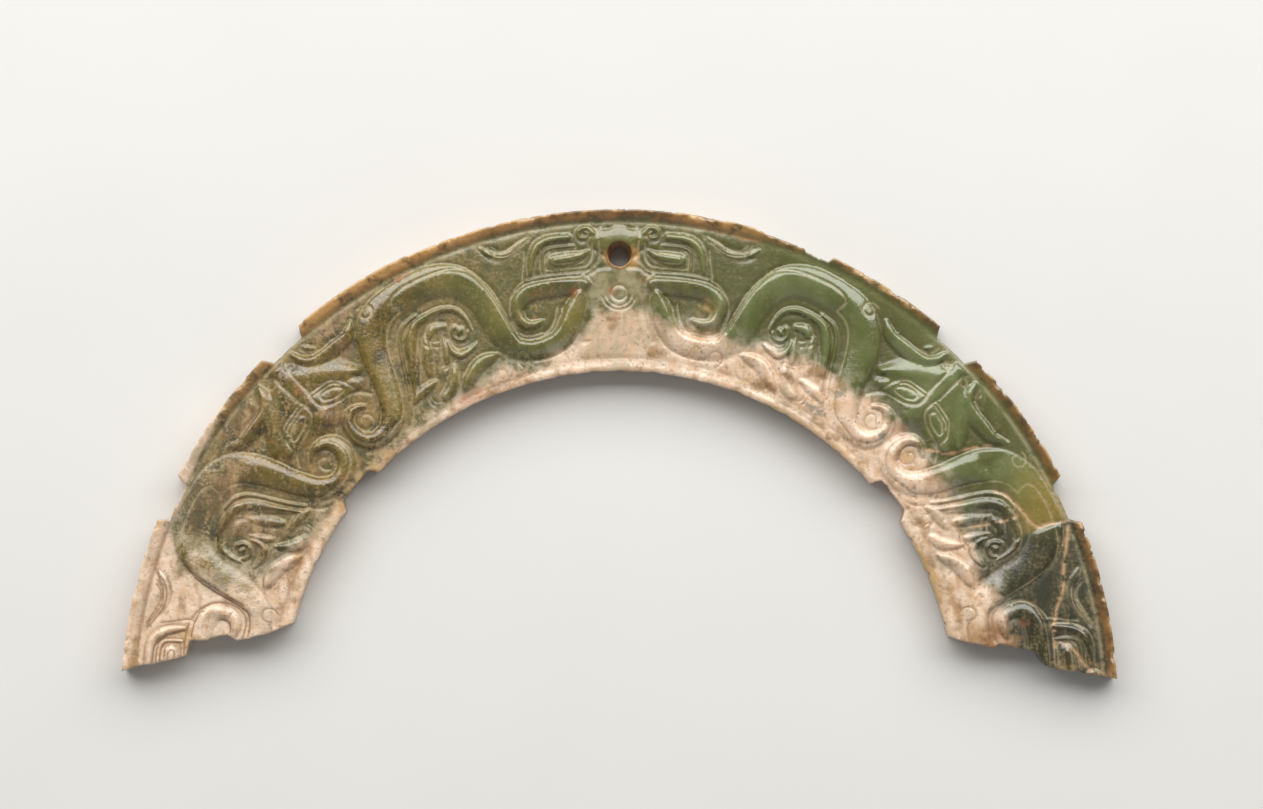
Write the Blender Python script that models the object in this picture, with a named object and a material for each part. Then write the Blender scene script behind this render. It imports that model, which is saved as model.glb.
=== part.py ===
"""Jade arc pendant: one flat arched plaque of nephrite, carved in low relief on its front.

It lies on its back. Metres, +Z up. The front faces +Z, the arch's crown points to +Y and its two ends to -Y.
The origin is on the underside, at the middle of the outline's box. A place on the band is written as an angle
in degrees from the crown, positive to the right (+X), and a share of the band's width, from 0 at the inner rim
to 1 at the outer rim.
"""
import math

import bpy
import numpy as np
from mathutils.geometry import delaunay_2d_cdt

# Size of the plaque
OUTER_RADIUS = 0.0600
BAND_WIDTH = 0.0196
FIELD_THICKNESS = 0.0037
RELIEF_HEIGHT = 0.0009
EDGE_ROUNDING = 0.00025

# The two worn ends: angles of their outer and inner corners, and the worn line between them as pairs of a
# share of the way from the outer corner and a depth inwards, below 0 where the stone stands proud
LEFT_END = (-85.8, -75.4)
RIGHT_END = (86.7, 77.8)
LEFT_WORN = ((.24, -.0003), (.37, -.00048), (.41, .00114), (.49, .0008), (.62, .00072), (.66, -.00025),
             (.80, -.0005), (.96, -.0002))
RIGHT_WORN = ((.14, -.0003), (.38, -.00069), (.43, -.0006), (.47, .0004), (.49, .00078), (.56, .0006),
              (.70, .00062), (.72, 0), (.87, -.0002))

# Chips and ridges of the outer rim, as pairs of an angle and a height over its true radius
OUTER_RIM_WEAR = ((-39.6, .0002), (-25.5, .0002), (-25.1, 0), (16.6, 0), (17.2, -.00035), (22.0, -.0004),
                  (22.3, -.00075), (25.1, -.0007), (25.5, 0))

# Trapezoid notches in the rims: mouth, floor and depth, and the angles of their middles
OUTER_NOTCH_MOUTH = 0.0059
OUTER_NOTCH_FLOOR = 0.0046
OUTER_NOTCH_DEPTH = 0.0013
OUTER_NOTCH_ANGLES = (-65.1, -42.9, 42.9, 65.1)
INNER_NOTCH_MOUTH = 0.0059
INNER_NOTCH_FLOOR = 0.0044
INNER_NOTCH_DEPTH = 0.0012
INNER_NOTCH_ANGLES = (-50.0, 52.3)

# The suspension hole, drilled as a cone from the front
HOLE_SHARE = 0.72
HOLE_MOUTH_DIAMETER = 0.0030
HOLE_BORE_DIAMETER = 0.0022
HOLE_CONE_DEPTH = 0.0021
HOLE_LEAN = 0.00025

# Raised rims, as shares of the band's width and of the relief's height
OUTER_RIM_SHARE = 0.075
INNER_RIM_SHARE = 0.070
RIM_STEP = 0.18
RIM_HEIGHT = 0.66
INNER_RIM_HEIGHT = 0.28
RIM_GROOVE = 0.13
RIM_GROOVE_WIDTH = 0.012
RIM_FLANK = 0.02

# How finely the solid is faceted
OUTLINE_SPACING = 0.0015
STROKE_SPACING = 0.0016
FIELD_SPACING = 0.0030
FACET_TOLERANCE = 0.00005
SMALLEST_FACET = 0.00045
FRONT_FACETS = 7600
REFINING_ROUNDS = 5
HOLE_SIDES = 20

INNER_RADIUS = OUTER_RADIUS - BAND_WIDTH
MIDDLE_RADIUS = OUTER_RADIUS - BAND_WIDTH / 2
DEGREE = math.radians(1) * MIDDLE_RADIUS
STROKE_UNIT = BAND_WIDTH / 20

# The pattern repeats mirrored at every fold: a half mask at the crown, one near 45 degrees, one at each end.
FOLD_ANGLE = 45.2
# The carver's left half drifts from the right one by up to a degree: (angle, drift) pairs.
LEFT_DRIFT = ((0, 0), (4, 0.2), (9, 0.6), (12.4, 0.6), (16.7, -0.3), (23, -0.3), (33, 0.6), (36.9, 0),
              (45.4, 0.2), (50.3, 1.1), (54, 0.9), (60.3, 0.3), (90, 0.2))


def curl(centre, radii, turns, widths, steps=7):
    """Points of a spiral about a centre; radii and half widths in stroke units, turns in degrees."""
    points = []
    for step in range(steps):
        t = step / (steps - 1)
        radius = (radii[0] + (radii[1] - radii[0]) * t) * STROKE_UNIT
        turn = math.radians(turns[0] + (turns[1] - turns[0]) * t)
        points.append((centre[0] + radius * math.cos(turn) / DEGREE,
                       centre[1] + radius * math.sin(turn) / BAND_WIDTH,
                       widths[0] + (widths[1] - widths[0]) * t, 0))
    return points


def even(points, width, lean=0):
    """The same half width and lean at every point of a stroke."""
    return [(angle, share, width, lean) for angle, share in points]


def tapering(points, widths, lean=0):
    """A half width for each point of a stroke, and one lean."""
    return [(angle, share, width, lean) for (angle, share), width in zip(points, widths)]


def strokes():
    """The raised strokes of one half mask: name, height as a share of RELIEF_HEIGHT, and points.

    A point is an angle, a share of the band, a half width in STROKE_UNIT, and a lean: how far the crest is
    off the middle, from -1 to 1, to the left of the stroke's direction.
    """
    trunk = [(5.7, .41, 1.1, .3), (6.1, .34, 1.0, .5), (7.15, .272, 1.05, .55), (8.7, .212, 1.15, .6),
             (10.8, .19, 1.2, .6), (13.4, .19, 1.25, .6), (15.7, .22, 1.4, .65), (17.1, .29, 1.7, .72),
             (18.0, .375, 1.85, .75), (18.6, .475, 1.85, .75), (19.1, .565, 1.8, .72),
             (20.0, .65, 1.85, .65), (21.6, .74, 2.0, .55), (24, .787, 2.15, .45), (27, .79, 2.15, .4),
             (30, .775, 2.15, .3), (32.3, .715, 2.15, .35), (33.9, .61, 2.15, .45), (34.8, .49, 2.05, .5),
             (35.5, .38, 1.9, .5), (36.4, .285, 1.8, .45), (37.5, .212, 1.6, .4), (39.3, .157, 1.37, .4),
             (41.2, .148, 1.25, .42), (42.85, .174, 1.15, .42), (43.8, .24, 1.05, .4),
             (43.85, .31, .92, .3), (43.2, .365, .78, .1), (42.1, .39, .6, 0), (41.0, .385, .42, 0),
             (40.1, .36, .28, 0)]
    jaw = [(3.5, .535, 1.2, .85), (7, .533, 1.3, .85), (10.6, .54, 1.35, .8), (12.3, .53, 1.35, .6),
           (13.7, .495, 1.15, .3), (14.2, .44, .95, 0), (13.9, .38, .85, -.3), (13.0, .35, .7, -.4),
           (11.9, .345, .55, -.4), (10.7, .357, .3, -.3)]
    forehead = [(0, .805, 1.9, .4), (1.2, .805, 1.8, .4), (2.2, .82, 1.3, .4)]
    arch = [(21.75, .43, .2, .3), (21.95, .50, .3, .4), (22.7, .572, .4, .4), (24.2, .61, .45, .4),
            (26.2, .613, .5, .4), (27.9, .597, .6, .3), (29.0, .55, .7, .1), (29.8, .49, .72, 0),
            (30.5, .42, .6, 0), (31.3, .34, .45, 0), (32.4, .24, .3, 0), (33.3, .185, .2, 0)]
    horn = [(34.6, .822, .3, .2), (35.4, .79, .6, .4), (36.4, .757, .85, .6), (38.2, .75, 1.0, .65),
            (40.2, .75, 1.0, .65), (41.6, .775, .85, .5), (42.4, .83, .6, .3), (42.7, .895, .35, 0)]
    return (
        ("trunk", 1.0, trunk),
        ("jaw", .85, jaw),
        ("forehead", .6, forehead),
        ("brow curl", .7, curl((4.0, .853), (.95, .3), (180, -260), (.4, .22))),
        ("brow", .75, [(5.9, .845, .5, -.2), (8.0, .847, .56, -.2), (9.3, .825, .6, -.2),
         (10.2, .77, .56, 0), (10.7, .71, .46, 0), (11.0, .655, .3, 0)]),
        ("eye bar", .7, tapering([(3.8, .752), (5, .75), (8.2, .745)], (.2, .36, .34), 0)),
        ("eye", .7, tapering([(4.3, .695), (6, .69), (8.3, .692)], (.45, .6, .55), .5)),
        ("wing", .32, [(10.5, .877, .15, 0), (11.6, .85, .3, .3), (12.9, .817, .45, .3),
         (14.2, .80, .5, .3), (15.4, .812, .5, 0), (16.4, .848, .45, -.3), (17.2, .89, .2, 0)]),
        ("arch", .68, arch),
        ("arch rib", .5, even([(27.4, .65), (29.2, .628), (30.4, .57), (31.2, .49), (31.9, .40),
         (32.8, .30), (33.7, .23)], .3)),
        ("ball", .75, even([(23.15, .455), (23.4, .442)], .45)),
        ("crescent", .65, [(21.7, .34, .2, -.5), (23.0, .32, .42, -.5), (24.4, .318, .55, -.5),
         (25.2, .36, .45, 0), (25.2, .42, .25, 0)]),
        ("scroll", .85, [(19.4, .23, .3, .3), (20.3, .225, .7, .4), (22, .215, .95, .4),
         (23.6, .182, .95, .4), (25, .14, .8, .3), (26, .098, .45, 0)]),
        ("lump", .4, tapering([(25.0, .515), (26.2, .525), (27.0, .50)], (.5, .7, .5))),
        ("short leaf", .4, tapering([(25.6, .445), (25.9, .39), (26.3, .33), (26.6, .30)],
         (.2, .45, .55, .3))),
        ("long leaf", .45, tapering([(27.6, .50), (28.1, .43), (28.8, .36), (29.3, .30)],
         (.3, .6, .72, .6))),
        ("low leaf", .5, tapering([(25.8, .27), (26.4, .215), (27.5, .155), (28.9, .125)],
         (.3, .65, .85, .7))),
        ("side leaf", .42, tapering([(29.2, .235), (30.7, .225), (32.2, .215), (33.4, .195)],
         (.4, .7, .7, .4))),
        ("horn", .85, horn),
        ("nose", .85, tapering([(45.2, .905), (45.2, .80), (45.2, .72), (45.2, .67), (45.2, .64)],
         (1.4, 1.8, 2.4, 3.0, 3.4))),
        ("cheek", .72, [(38.5, .585, .5, -.6), (39.6, .61, .85, -.7), (41.2, .63, 1.1, -.7),
         (43, .645, 1.2, -.7), (44.6, .65, 1.2, -.7)]),
        ("eye mound", .55, tapering([(39.9, .53), (41.5, .545), (43.6, .55), (45.2, .55)],
         (.5, 1.1, 1.3, 1.4))),
    )


# Incised furrows of one half mask, each with its half width in STROKE_UNIT
FURROWS = (
    (.28, [(15.9, .33), (16.9, .49), (17.5, .585), (18.3, .69), (19.3, .765), (20.8, .81), (22.6, .832),
     (25, .84), (27.2, .836), (28.6, .818), (29.15, .785), (29.0, .75), (28.75, .715)]),
    (.28, [(28.75, .715), (31.2, .65), (32.7, .505), (34.2, .31), (36.6, .17), (38.2, .15), (41, .127)]),
    (.45, [(3.3, .40), (3.9, .34), (4.6, .27), (5.3, .20)]),
    (.28, [(44.35, .86), (44.4, .66), (44.45, .545), (42, .487), (39.3, .445), (38.3, .395)]),
)
FURROW_DEPTH = .16
# The groove at the foot of every stroke: depth, width in STROKE_UNIT, and the raised height where it ends
FOOT_DEPTH = .15
FOOT_WIDTH = .3
FOOT_END = .35
# Strokes narrower than this half width in STROKE_UNIT are lower
NARROW_STROKE = .6
CURVE_SPACING = .4 * STROKE_UNIT


def smooth_curve(points, spacing):
    """Points of a Catmull-Rom curve, in metres on the unrolled band, with any further values carried on."""
    places = np.array([(p[0] * DEGREE, p[1] * BAND_WIDTH) + tuple(p[2:]) for p in points], float)
    places = np.vstack([2 * places[0] - places[1], places, 2 * places[-1] - places[-2]])
    curve = []
    for before, start, end, after in zip(places, places[1:], places[2:], places[3:]):
        count = max(1, round(math.dist(start[:2], end[:2]) / spacing))
        t = (np.arange(count) / count)[:, None]
        square = (2 * before - 5 * start + 4 * end - after) * t ** 2
        cube = (3 * start - before - 3 * end + after) * t ** 3
        curve.append((2 * start + (end - before) * t + square + cube) / 2)
    curve.append(places[-2:-1])
    return np.vstack(curve)


def nearest(curve, u, v, reach):
    """For each point, sorted by u: its distance from the curve, and the place along it and side of it."""
    distance = np.full(len(u), np.inf)
    place = np.zeros(len(u))
    side = np.ones(len(u))
    run = 8
    for first in range(0, len(curve) - 1, run):
        piece = curve[first:first + run + 1, :2]
        low, high = np.searchsorted(u, (piece[:, 0].min() - reach, piece[:, 0].max() + reach))
        near = low + np.flatnonzero((v[low:high] > piece[:, 1].min() - reach)
                                    & (v[low:high] < piece[:, 1].max() + reach))
        start, step = piece[:-1], np.diff(piece, axis=0)
        du = u[near][:, None] - start[:, 0]
        dv = v[near][:, None] - start[:, 1]
        along = np.clip((du * step[:, 0] + dv * step[:, 1]) / (step ** 2).sum(1), 0, 1)
        gap = np.hypot(du - along * step[:, 0], dv - along * step[:, 1])
        best = gap.argmin(1)
        row = np.arange(len(near))
        closer = gap[row, best] < distance[near]
        near, best, row = near[closer], best[closer], row[closer]
        distance[near] = gap[row, best]
        place[near] = first + best + along[row, best]
        side[near] = np.sign(step[best, 0] * dv[row, best] - step[best, 1] * du[row, best])
    return distance, place, side


def ease(x):
    """0 below 0, 1 above 1, and a smooth step between."""
    x = np.clip(x, 0, 1)
    return x * x * (3 - 2 * x)


def pattern_angle(angle):
    """Folds an angle on the plaque into the angle of the one half mask that the pattern repeats."""
    drift = np.interp(-angle, *zip(*LEFT_DRIFT))
    folded = np.abs(angle) - drift
    return np.where(folded > FOLD_ANGLE, 2 * FOLD_ANGLE - folded, folded)


def crest_profile(across, lean):
    """Height across a stroke, from its right foot at -1 to its left foot at 1, bevelled where it leans."""
    t = np.clip(np.where(across > lean, (across - lean) / (1 - lean), (lean - across) / (1 + lean)), 0, 1)
    bevel = np.where(lean * (across - lean) > 0, np.abs(lean), 0)
    return (1 - bevel) * (1 - t ** 2) + bevel * (1 - .65 * t - .35 * t ** 3)


def carving(angle, share):
    """Height of the carved front over the sunk field, as a share of RELIEF_HEIGHT."""
    angle = pattern_angle(angle)
    order = np.argsort(angle)
    u = angle[order] * DEGREE
    v = share[order] * BAND_WIDTH
    raised = np.zeros(len(u))
    foot = np.zeros(len(u))
    for _, height, points in strokes():
        curve = smooth_curve(points, CURVE_SPACING)
        margin = (curve[:, 2].max() + 1) * STROKE_UNIT
        distance, place, side = nearest(curve, u, v, margin)
        steps = np.arange(len(curve))
        width = np.interp(place, steps, curve[:, 2]) * STROKE_UNIT
        lean = np.interp(place, steps, curve[:, 3])
        across = np.minimum(distance / width, 1) * side
        narrow = np.minimum(1, width / (NARROW_STROKE * STROKE_UNIT))
        rise = np.where(distance < width, height * narrow * crest_profile(across, lean), 0)
        raised = np.maximum(raised, rise)
        foot = np.maximum(foot, FOOT_DEPTH * np.exp(-((distance - width) / (FOOT_WIDTH * STROKE_UNIT)) ** 2))
    cut = foot * (1 - ease(raised / FOOT_END))
    for half_width, points in FURROWS:
        curve = smooth_curve(points, CURVE_SPACING)
        distance, _, _ = nearest(curve, u, v, 2 * STROKE_UNIT)
        cut = np.maximum(cut, FURROW_DEPTH * np.exp(-(distance / (half_width * STROKE_UNIT)) ** 2))
    result = np.zeros(len(u))
    result[order] = raised - cut
    return result


def front_height(angle, share):
    """Height of the front over the underside."""
    outer_foot = 1 - OUTER_RIM_SHARE
    field = ease((outer_foot - RIM_GROOVE_WIDTH - share) / RIM_FLANK)
    field *= ease((share - INNER_RIM_SHARE) / (RIM_FLANK * 1.5))
    outer_rim = RIM_STEP * ease((share - outer_foot) / RIM_FLANK)
    outer_rim += (RIM_HEIGHT - RIM_STEP) * np.clip((share - outer_foot) / OUTER_RIM_SHARE, 0, 1)
    inner_rim = INNER_RIM_HEIGHT * ease((INNER_RIM_SHARE - share) / (INNER_RIM_SHARE * .6))
    outer_groove = outer_foot - RIM_GROOVE_WIDTH / 2
    inner_groove = INNER_RIM_SHARE + RIM_GROOVE_WIDTH * 1.5
    groove = RIM_GROOVE * (np.exp(-((share - outer_groove) / RIM_GROOVE_WIDTH) ** 2)
                           + np.exp(-((share - inner_groove) / RIM_GROOVE_WIDTH) ** 2))
    height = carving(angle, share) * field + outer_rim + inner_rim - groove
    return FIELD_THICKNESS + RELIEF_HEIGHT * np.minimum(height, 1)


def on_band(angle, share):
    """The place in the plane of a point on the band, from the arch's centre."""
    radius = INNER_RADIUS + share * BAND_WIDTH
    turn = np.radians(angle)
    return np.stack([radius * np.sin(turn), radius * np.cos(turn)], -1)


def to_band(places):
    """Angle and share of places in the plane."""
    radius = np.hypot(places[:, 0], places[:, 1])
    return np.degrees(np.arctan2(places[:, 0], places[:, 1])), (radius - INNER_RADIUS) / BAND_WIDTH


def rim(radius, first, last, notches, mouth, floor, depth, wear=()):
    """Corners and arc points of a rim from one angle to another, with its notches and its wear."""
    def degrees(length):
        return math.degrees(length / radius)
    path = [(first, 0), (last, 0)] + list(wear)
    for middle in notches:
        for offset, cut in ((-mouth, 0), (-floor, depth), (floor, depth), (mouth, 0)):
            path.append((middle + degrees(offset / 2), cut))
    path.sort()
    points = []
    for (start, cut), (end, next_cut) in zip(path, path[1:]):
        count = max(1, round(math.radians(end - start) * radius / OUTLINE_SPACING))
        for step in range(count):
            t = step / count
            turn = math.radians(start + (end - start) * t)
            reach = radius + cut + (next_cut - cut) * t
            points.append((reach * math.sin(turn), reach * math.cos(turn)))
    turn = math.radians(last)
    points.append((radius * math.sin(turn), radius * math.cos(turn)))
    return points


def worn_end(outer_corner, inner_corner, line):
    """Points between the corners of an end, which the stone lies above in +Y, along its worn line."""
    start, end = np.array(outer_corner), np.array(inner_corner)
    along = end - start
    inwards = np.array((-along[1], along[0])) / np.hypot(*along)
    if inwards[1] < 0:
        inwards = -inwards
    path = [(0, 0)] + list(line) + [(1, 0)]
    points = []
    for (share, cut), (next_share, next_cut) in zip(path, path[1:]):
        count = max(1, round((next_share - share) * np.hypot(*along) / OUTLINE_SPACING))
        for step in range(count):
            t = step / count
            place = start + along * (share + (next_share - share) * t)
            points.append(tuple(place + inwards * (cut + (next_cut - cut) * t)))
    return points[1:]


def outline():
    """The plaque's outline, clockwise from its left end's outer corner."""
    outer = rim(OUTER_RADIUS, LEFT_END[0], RIGHT_END[0], OUTER_NOTCH_ANGLES,
                OUTER_NOTCH_MOUTH, OUTER_NOTCH_FLOOR, -OUTER_NOTCH_DEPTH, OUTER_RIM_WEAR)
    inner = rim(INNER_RADIUS, LEFT_END[1], RIGHT_END[1], INNER_NOTCH_ANGLES,
                INNER_NOTCH_MOUTH, INNER_NOTCH_FLOOR, INNER_NOTCH_DEPTH)[::-1]
    right = worn_end(outer[-1], inner[0], RIGHT_WORN)
    left = worn_end(outer[0], inner[-1], LEFT_WORN)[::-1]
    return np.array(outer + right + inner + left)


def inset(loop, distance):
    """A clockwise loop moved inwards by a distance, corners mitred."""
    before = loop - np.roll(loop, 1, axis=0)
    after = np.roll(before, -1, axis=0)
    normals = [np.stack([edge[:, 1], -edge[:, 0]], -1) / np.hypot(edge[:, 0], edge[:, 1])[:, None]
               for edge in (before, after)]
    middle = normals[0] + normals[1]
    middle /= np.maximum((middle * normals[0]).sum(1), 0.5)[:, None]
    return loop + middle * distance


def circle(centre, diameter):
    """A ring of points about a centre."""
    turns = 2 * math.pi * np.arange(HOLE_SIDES) / HOLE_SIDES
    return np.array(centre) + diameter / 2 * np.stack([np.cos(turns), np.sin(turns)], -1)


def inside(loop, places):
    """Which places lie inside a loop."""
    result = np.zeros(len(places), bool)
    for (x1, y1), (x2, y2) in zip(loop, np.roll(loop, -1, axis=0)):
        if y1 == y2:
            continue
        crosses = (y1 > places[:, 1]) != (y2 > places[:, 1])
        result ^= crosses & (places[:, 0] < (x2 - x1) * (places[:, 1] - y1) / (y2 - y1) + x1)
    return result


def spread(chosen, candidates, gap):
    """Adds candidates, in order, that keep a gap to every point taken before them."""
    cells = {}

    def cell(place):
        return int(math.floor(place[0] / gap)), int(math.floor(place[1] / gap))

    def free(place):
        column, row = cell(place)
        for i in (-1, 0, 1):
            for j in (-1, 0, 1):
                for other in cells.get((column + i, row + j), ()):
                    if math.dist(other, place) < gap:
                        return False
        return True

    for place in chosen:
        cells.setdefault(cell(place), []).append(tuple(place))
    added = []
    for place in candidates:
        if free(place):
            cells.setdefault(cell(place), []).append(tuple(place))
            added.append(tuple(place))
    return added


def stroke_places():
    """Points on the crest and the two feet of each raised stroke, everywhere that the pattern repeats."""
    places = []
    for _, _, points in strokes():
        curve = smooth_curve(points, STROKE_SPACING)
        direction = np.gradient(curve[:, :2], axis=0)
        normal = np.stack([-direction[:, 1], direction[:, 0]], -1) / np.hypot(*direction.T)[:, None]
        for offset in (curve[:, 3:4], -1, 1):
            line = curve[:, :2] + normal * offset * curve[:, 2:3] * STROKE_UNIT
            angle, share = line[:, 0] / DEGREE, line[:, 1] / BAND_WIDTH
            for repeat in (angle, 2 * FOLD_ANGLE - angle):
                places.append(on_band(repeat, share))
                drift = np.interp(repeat, *zip(*LEFT_DRIFT))
                places.append(on_band(-repeat - drift, share))
    return np.vstack(places)


def rim_places():
    """Points along the foot and the crest of the raised rims."""
    places = []
    for share in (1 - OUTER_RIM_SHARE, 1 - OUTER_RIM_SHARE * .2, INNER_RIM_SHARE, INNER_RIM_SHARE * .2):
        radius = INNER_RADIUS + share * BAND_WIDTH
        count = round(radius * math.radians(RIGHT_END[0] - LEFT_END[0]) / OUTLINE_SPACING)
        angles = np.linspace(LEFT_END[0], RIGHT_END[0], count)
        places.append(on_band(angles, np.full(count, share)))
    return np.vstack(places)


def field_places():
    """A plain grid of points over the whole band."""
    rows = round(BAND_WIDTH / FIELD_SPACING)
    places = []
    for row in range(rows + 1):
        share = row / rows
        count = round((INNER_RADIUS + share * BAND_WIDTH) * math.pi / FIELD_SPACING)
        angles = np.linspace(-90, 90, count + 1)
        places.append(on_band(angles, np.full(count + 1, share)))
    return np.vstack(places)


def triangles(loops, places):
    """Triangles inside the first loop and outside the others, with corners at all the places given."""
    points = [tuple(place * 1000) for loop in loops for place in loop]
    points += [(x * 1000, y * 1000) for x, y in places]
    edges = []
    start = 0
    for loop in loops:
        count = len(loop)
        edges += [(start + i, start + (i + 1) % count) for i in range(count)]
        start += count
    corners, _, faces, origins, _, _ = delaunay_2d_cdt(points, edges, [], 1, 1e-5, True)
    new_index = [origin[0] for origin in origins]
    places_in = np.array(points) / 1000
    faces = np.array([[new_index[i] for i in face] for face in faces])
    middles = places_in[faces].mean(1)
    keep = inside(loops[0], middles)
    for loop in loops[1:]:
        keep &= ~inside(loop, middles)
    faces = faces[keep]
    sides = places_in[faces]
    turn = np.cross(sides[:, 1] - sides[:, 0], sides[:, 2] - sides[:, 0])
    faces[turn < 0] = faces[turn < 0][:, ::-1]
    return places_in, faces


def bent_places(places, faces):
    """Middles of the edges where the carved front stands furthest off its facets, the worst first."""
    edges = np.sort(np.vstack([faces[:, [0, 1]], faces[:, [1, 2]], faces[:, [2, 0]]]), axis=1)
    edges, uses = np.unique(edges, axis=0, return_counts=True)
    edges = edges[uses == 2]
    ends = places[edges]
    middles = ends.mean(1)
    used = np.unique(edges)
    heights = np.zeros(len(places))
    heights[used] = front_height(*to_band(places[used]))
    error = np.abs(front_height(*to_band(middles)) - heights[edges].mean(1))
    long_enough = np.hypot(*(ends[:, 0] - ends[:, 1]).T) > 2 * SMALLEST_FACET
    chosen = np.flatnonzero((error > FACET_TOLERANCE) & long_enough)
    return middles[chosen[np.argsort(-error[chosen])]]


def faceted_front(loops):
    """Places and triangles of the carved front, finer where the relief bends."""
    edge_points = np.vstack(loops)
    candidates = np.vstack([rim_places(), stroke_places()])
    room = inside(inset(loops[0], SMALLEST_FACET), candidates) & ~inside(loops[1], candidates)
    places = spread(edge_points, candidates[room], STROKE_SPACING * .6)
    grid = field_places()
    room = inside(inset(loops[0], SMALLEST_FACET), grid) & ~inside(loops[1], grid)
    places += spread(np.vstack([edge_points, places]), grid[room], FIELD_SPACING * .6)
    corners, faces = triangles(loops, places)
    for rounds_left in range(REFINING_ROUNDS, 0, -1):
        added = spread(np.vstack([edge_points, places]), bent_places(corners, faces), SMALLEST_FACET)
        room = max(0, FRONT_FACETS - len(faces)) // 2
        places += added[:math.ceil(room / rounds_left)]
        corners, faces = triangles(loops, places)
    return corners, faces


def stone():
    """Dark green nephrite with a wax polish."""
    material = bpy.data.materials.new("nephrite")
    material.use_nodes = True
    shader = material.node_tree.nodes["Principled BSDF"]
    shader.inputs["Base Color"].default_value = (0.15, 0.16, 0.075, 1)
    shader.inputs["Roughness"].default_value = 0.35
    shader.inputs["Metallic"].default_value = 0
    return material


def arc_pendant():
    """The whole plaque as one closed solid."""
    edge = outline()
    centre = (edge.max(0) + edge.min(0)) / 2
    hole_y = INNER_RADIUS + HOLE_SHARE * BAND_WIDTH
    mouth = circle((0, hole_y), HOLE_MOUTH_DIAMETER)
    bore = circle((0, hole_y - HOLE_LEAN), HOLE_BORE_DIAMETER)
    front_edge = inset(edge, EDGE_ROUNDING)
    corners, front = faceted_front([front_edge, mouth])
    heights = front_height(*to_band(corners))
    vertices = [np.column_stack([corners, heights])]
    faces = [front]
    total = len(corners)
    count = len(edge)

    def ring(places, height):
        nonlocal total
        vertices.append(np.column_stack([places, np.broadcast_to(height, len(places))]))
        total += len(places)
        return np.arange(total - len(places), total)

    def join(upper, lower):
        next_upper, next_lower = np.roll(upper, -1), np.roll(lower, -1)
        faces.append(np.column_stack([upper, next_upper, lower]))
        faces.append(np.column_stack([next_upper, next_lower, lower]))

    edge_front = np.arange(count)
    edge_top = ring(edge, heights[:count] - EDGE_ROUNDING)
    edge_low = ring(edge, EDGE_ROUNDING)
    edge_back = ring(front_edge, 0)
    join(edge_front, edge_top)
    join(edge_top, edge_low)
    join(edge_low, edge_back)

    hole_front = np.arange(count, count + HOLE_SIDES)
    hole_neck = ring(bore, heights[count:count + HOLE_SIDES].mean() - HOLE_CONE_DEPTH)
    hole_back = ring(bore, 0)
    join(hole_front, hole_neck)
    join(hole_neck, hole_back)

    _, back = triangles([front_edge, bore], [])
    back_ring = np.concatenate([edge_back, hole_back])
    faces.append(back_ring[back][:, ::-1])

    vertices = np.vstack(vertices)
    vertices[:, :2] -= centre
    mesh = bpy.data.meshes.new("arc_pendant")
    mesh.from_pydata(vertices.tolist(), [], np.vstack(faces).tolist())
    mesh.materials.append(stone())
    mesh.shade_smooth()
    mesh.set_sharp_from_angle(angle=math.radians(35))
    pendant = bpy.data.objects.new("arc_pendant", mesh)
    bpy.context.scene.collection.objects.link(pendant)
    return pendant


for old in list(bpy.data.objects):
    bpy.data.objects.remove(old)
arc_pendant()
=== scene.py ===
"""The jade arc pendant as it looks: carved, cracked and stained stone, lying on a pale floor under soft light.

Lengths are millimetres at the drawn size of 60 mm outer radius until the mesh is made, and are then scaled to the
CAD solid's box. A place on the band is an angle in degrees from the crown, positive to the right, and a share of
the band's width, from 0 at the inner rim to 1 at the outer rim.
"""
import math

import bpy
import numpy as np
from mathutils.geometry import delaunay_2d_cdt
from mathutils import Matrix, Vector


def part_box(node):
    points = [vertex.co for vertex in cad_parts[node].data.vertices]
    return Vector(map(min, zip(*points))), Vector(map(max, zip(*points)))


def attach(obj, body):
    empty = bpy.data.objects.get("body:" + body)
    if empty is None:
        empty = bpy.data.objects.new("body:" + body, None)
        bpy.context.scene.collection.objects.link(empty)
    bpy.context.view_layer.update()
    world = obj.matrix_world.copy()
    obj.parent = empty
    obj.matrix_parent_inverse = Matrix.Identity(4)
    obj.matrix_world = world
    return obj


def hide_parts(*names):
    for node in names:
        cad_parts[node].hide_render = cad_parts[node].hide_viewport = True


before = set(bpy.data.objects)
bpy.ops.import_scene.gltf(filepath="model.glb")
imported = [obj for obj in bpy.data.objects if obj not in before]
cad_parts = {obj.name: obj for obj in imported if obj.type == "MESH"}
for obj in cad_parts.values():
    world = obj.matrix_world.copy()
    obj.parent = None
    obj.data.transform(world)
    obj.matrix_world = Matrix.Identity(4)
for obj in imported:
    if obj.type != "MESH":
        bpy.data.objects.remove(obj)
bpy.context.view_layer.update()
box_low, box_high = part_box("arc_pendant")

# Size of the plaque, in millimetres
OUTER_RADIUS = 60.0
BAND_WIDTH = 19.6
THICKNESS = 4.6
FIELD_THICKNESS = 3.7
RELIEF_HEIGHT = 0.9
INNER_RADIUS = OUTER_RADIUS - BAND_WIDTH
MIDDLE_RADIUS = OUTER_RADIUS - BAND_WIDTH / 2
DEGREE = math.radians(1) * MIDDLE_RADIUS
STROKE_UNIT = BAND_WIDTH / 20

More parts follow.
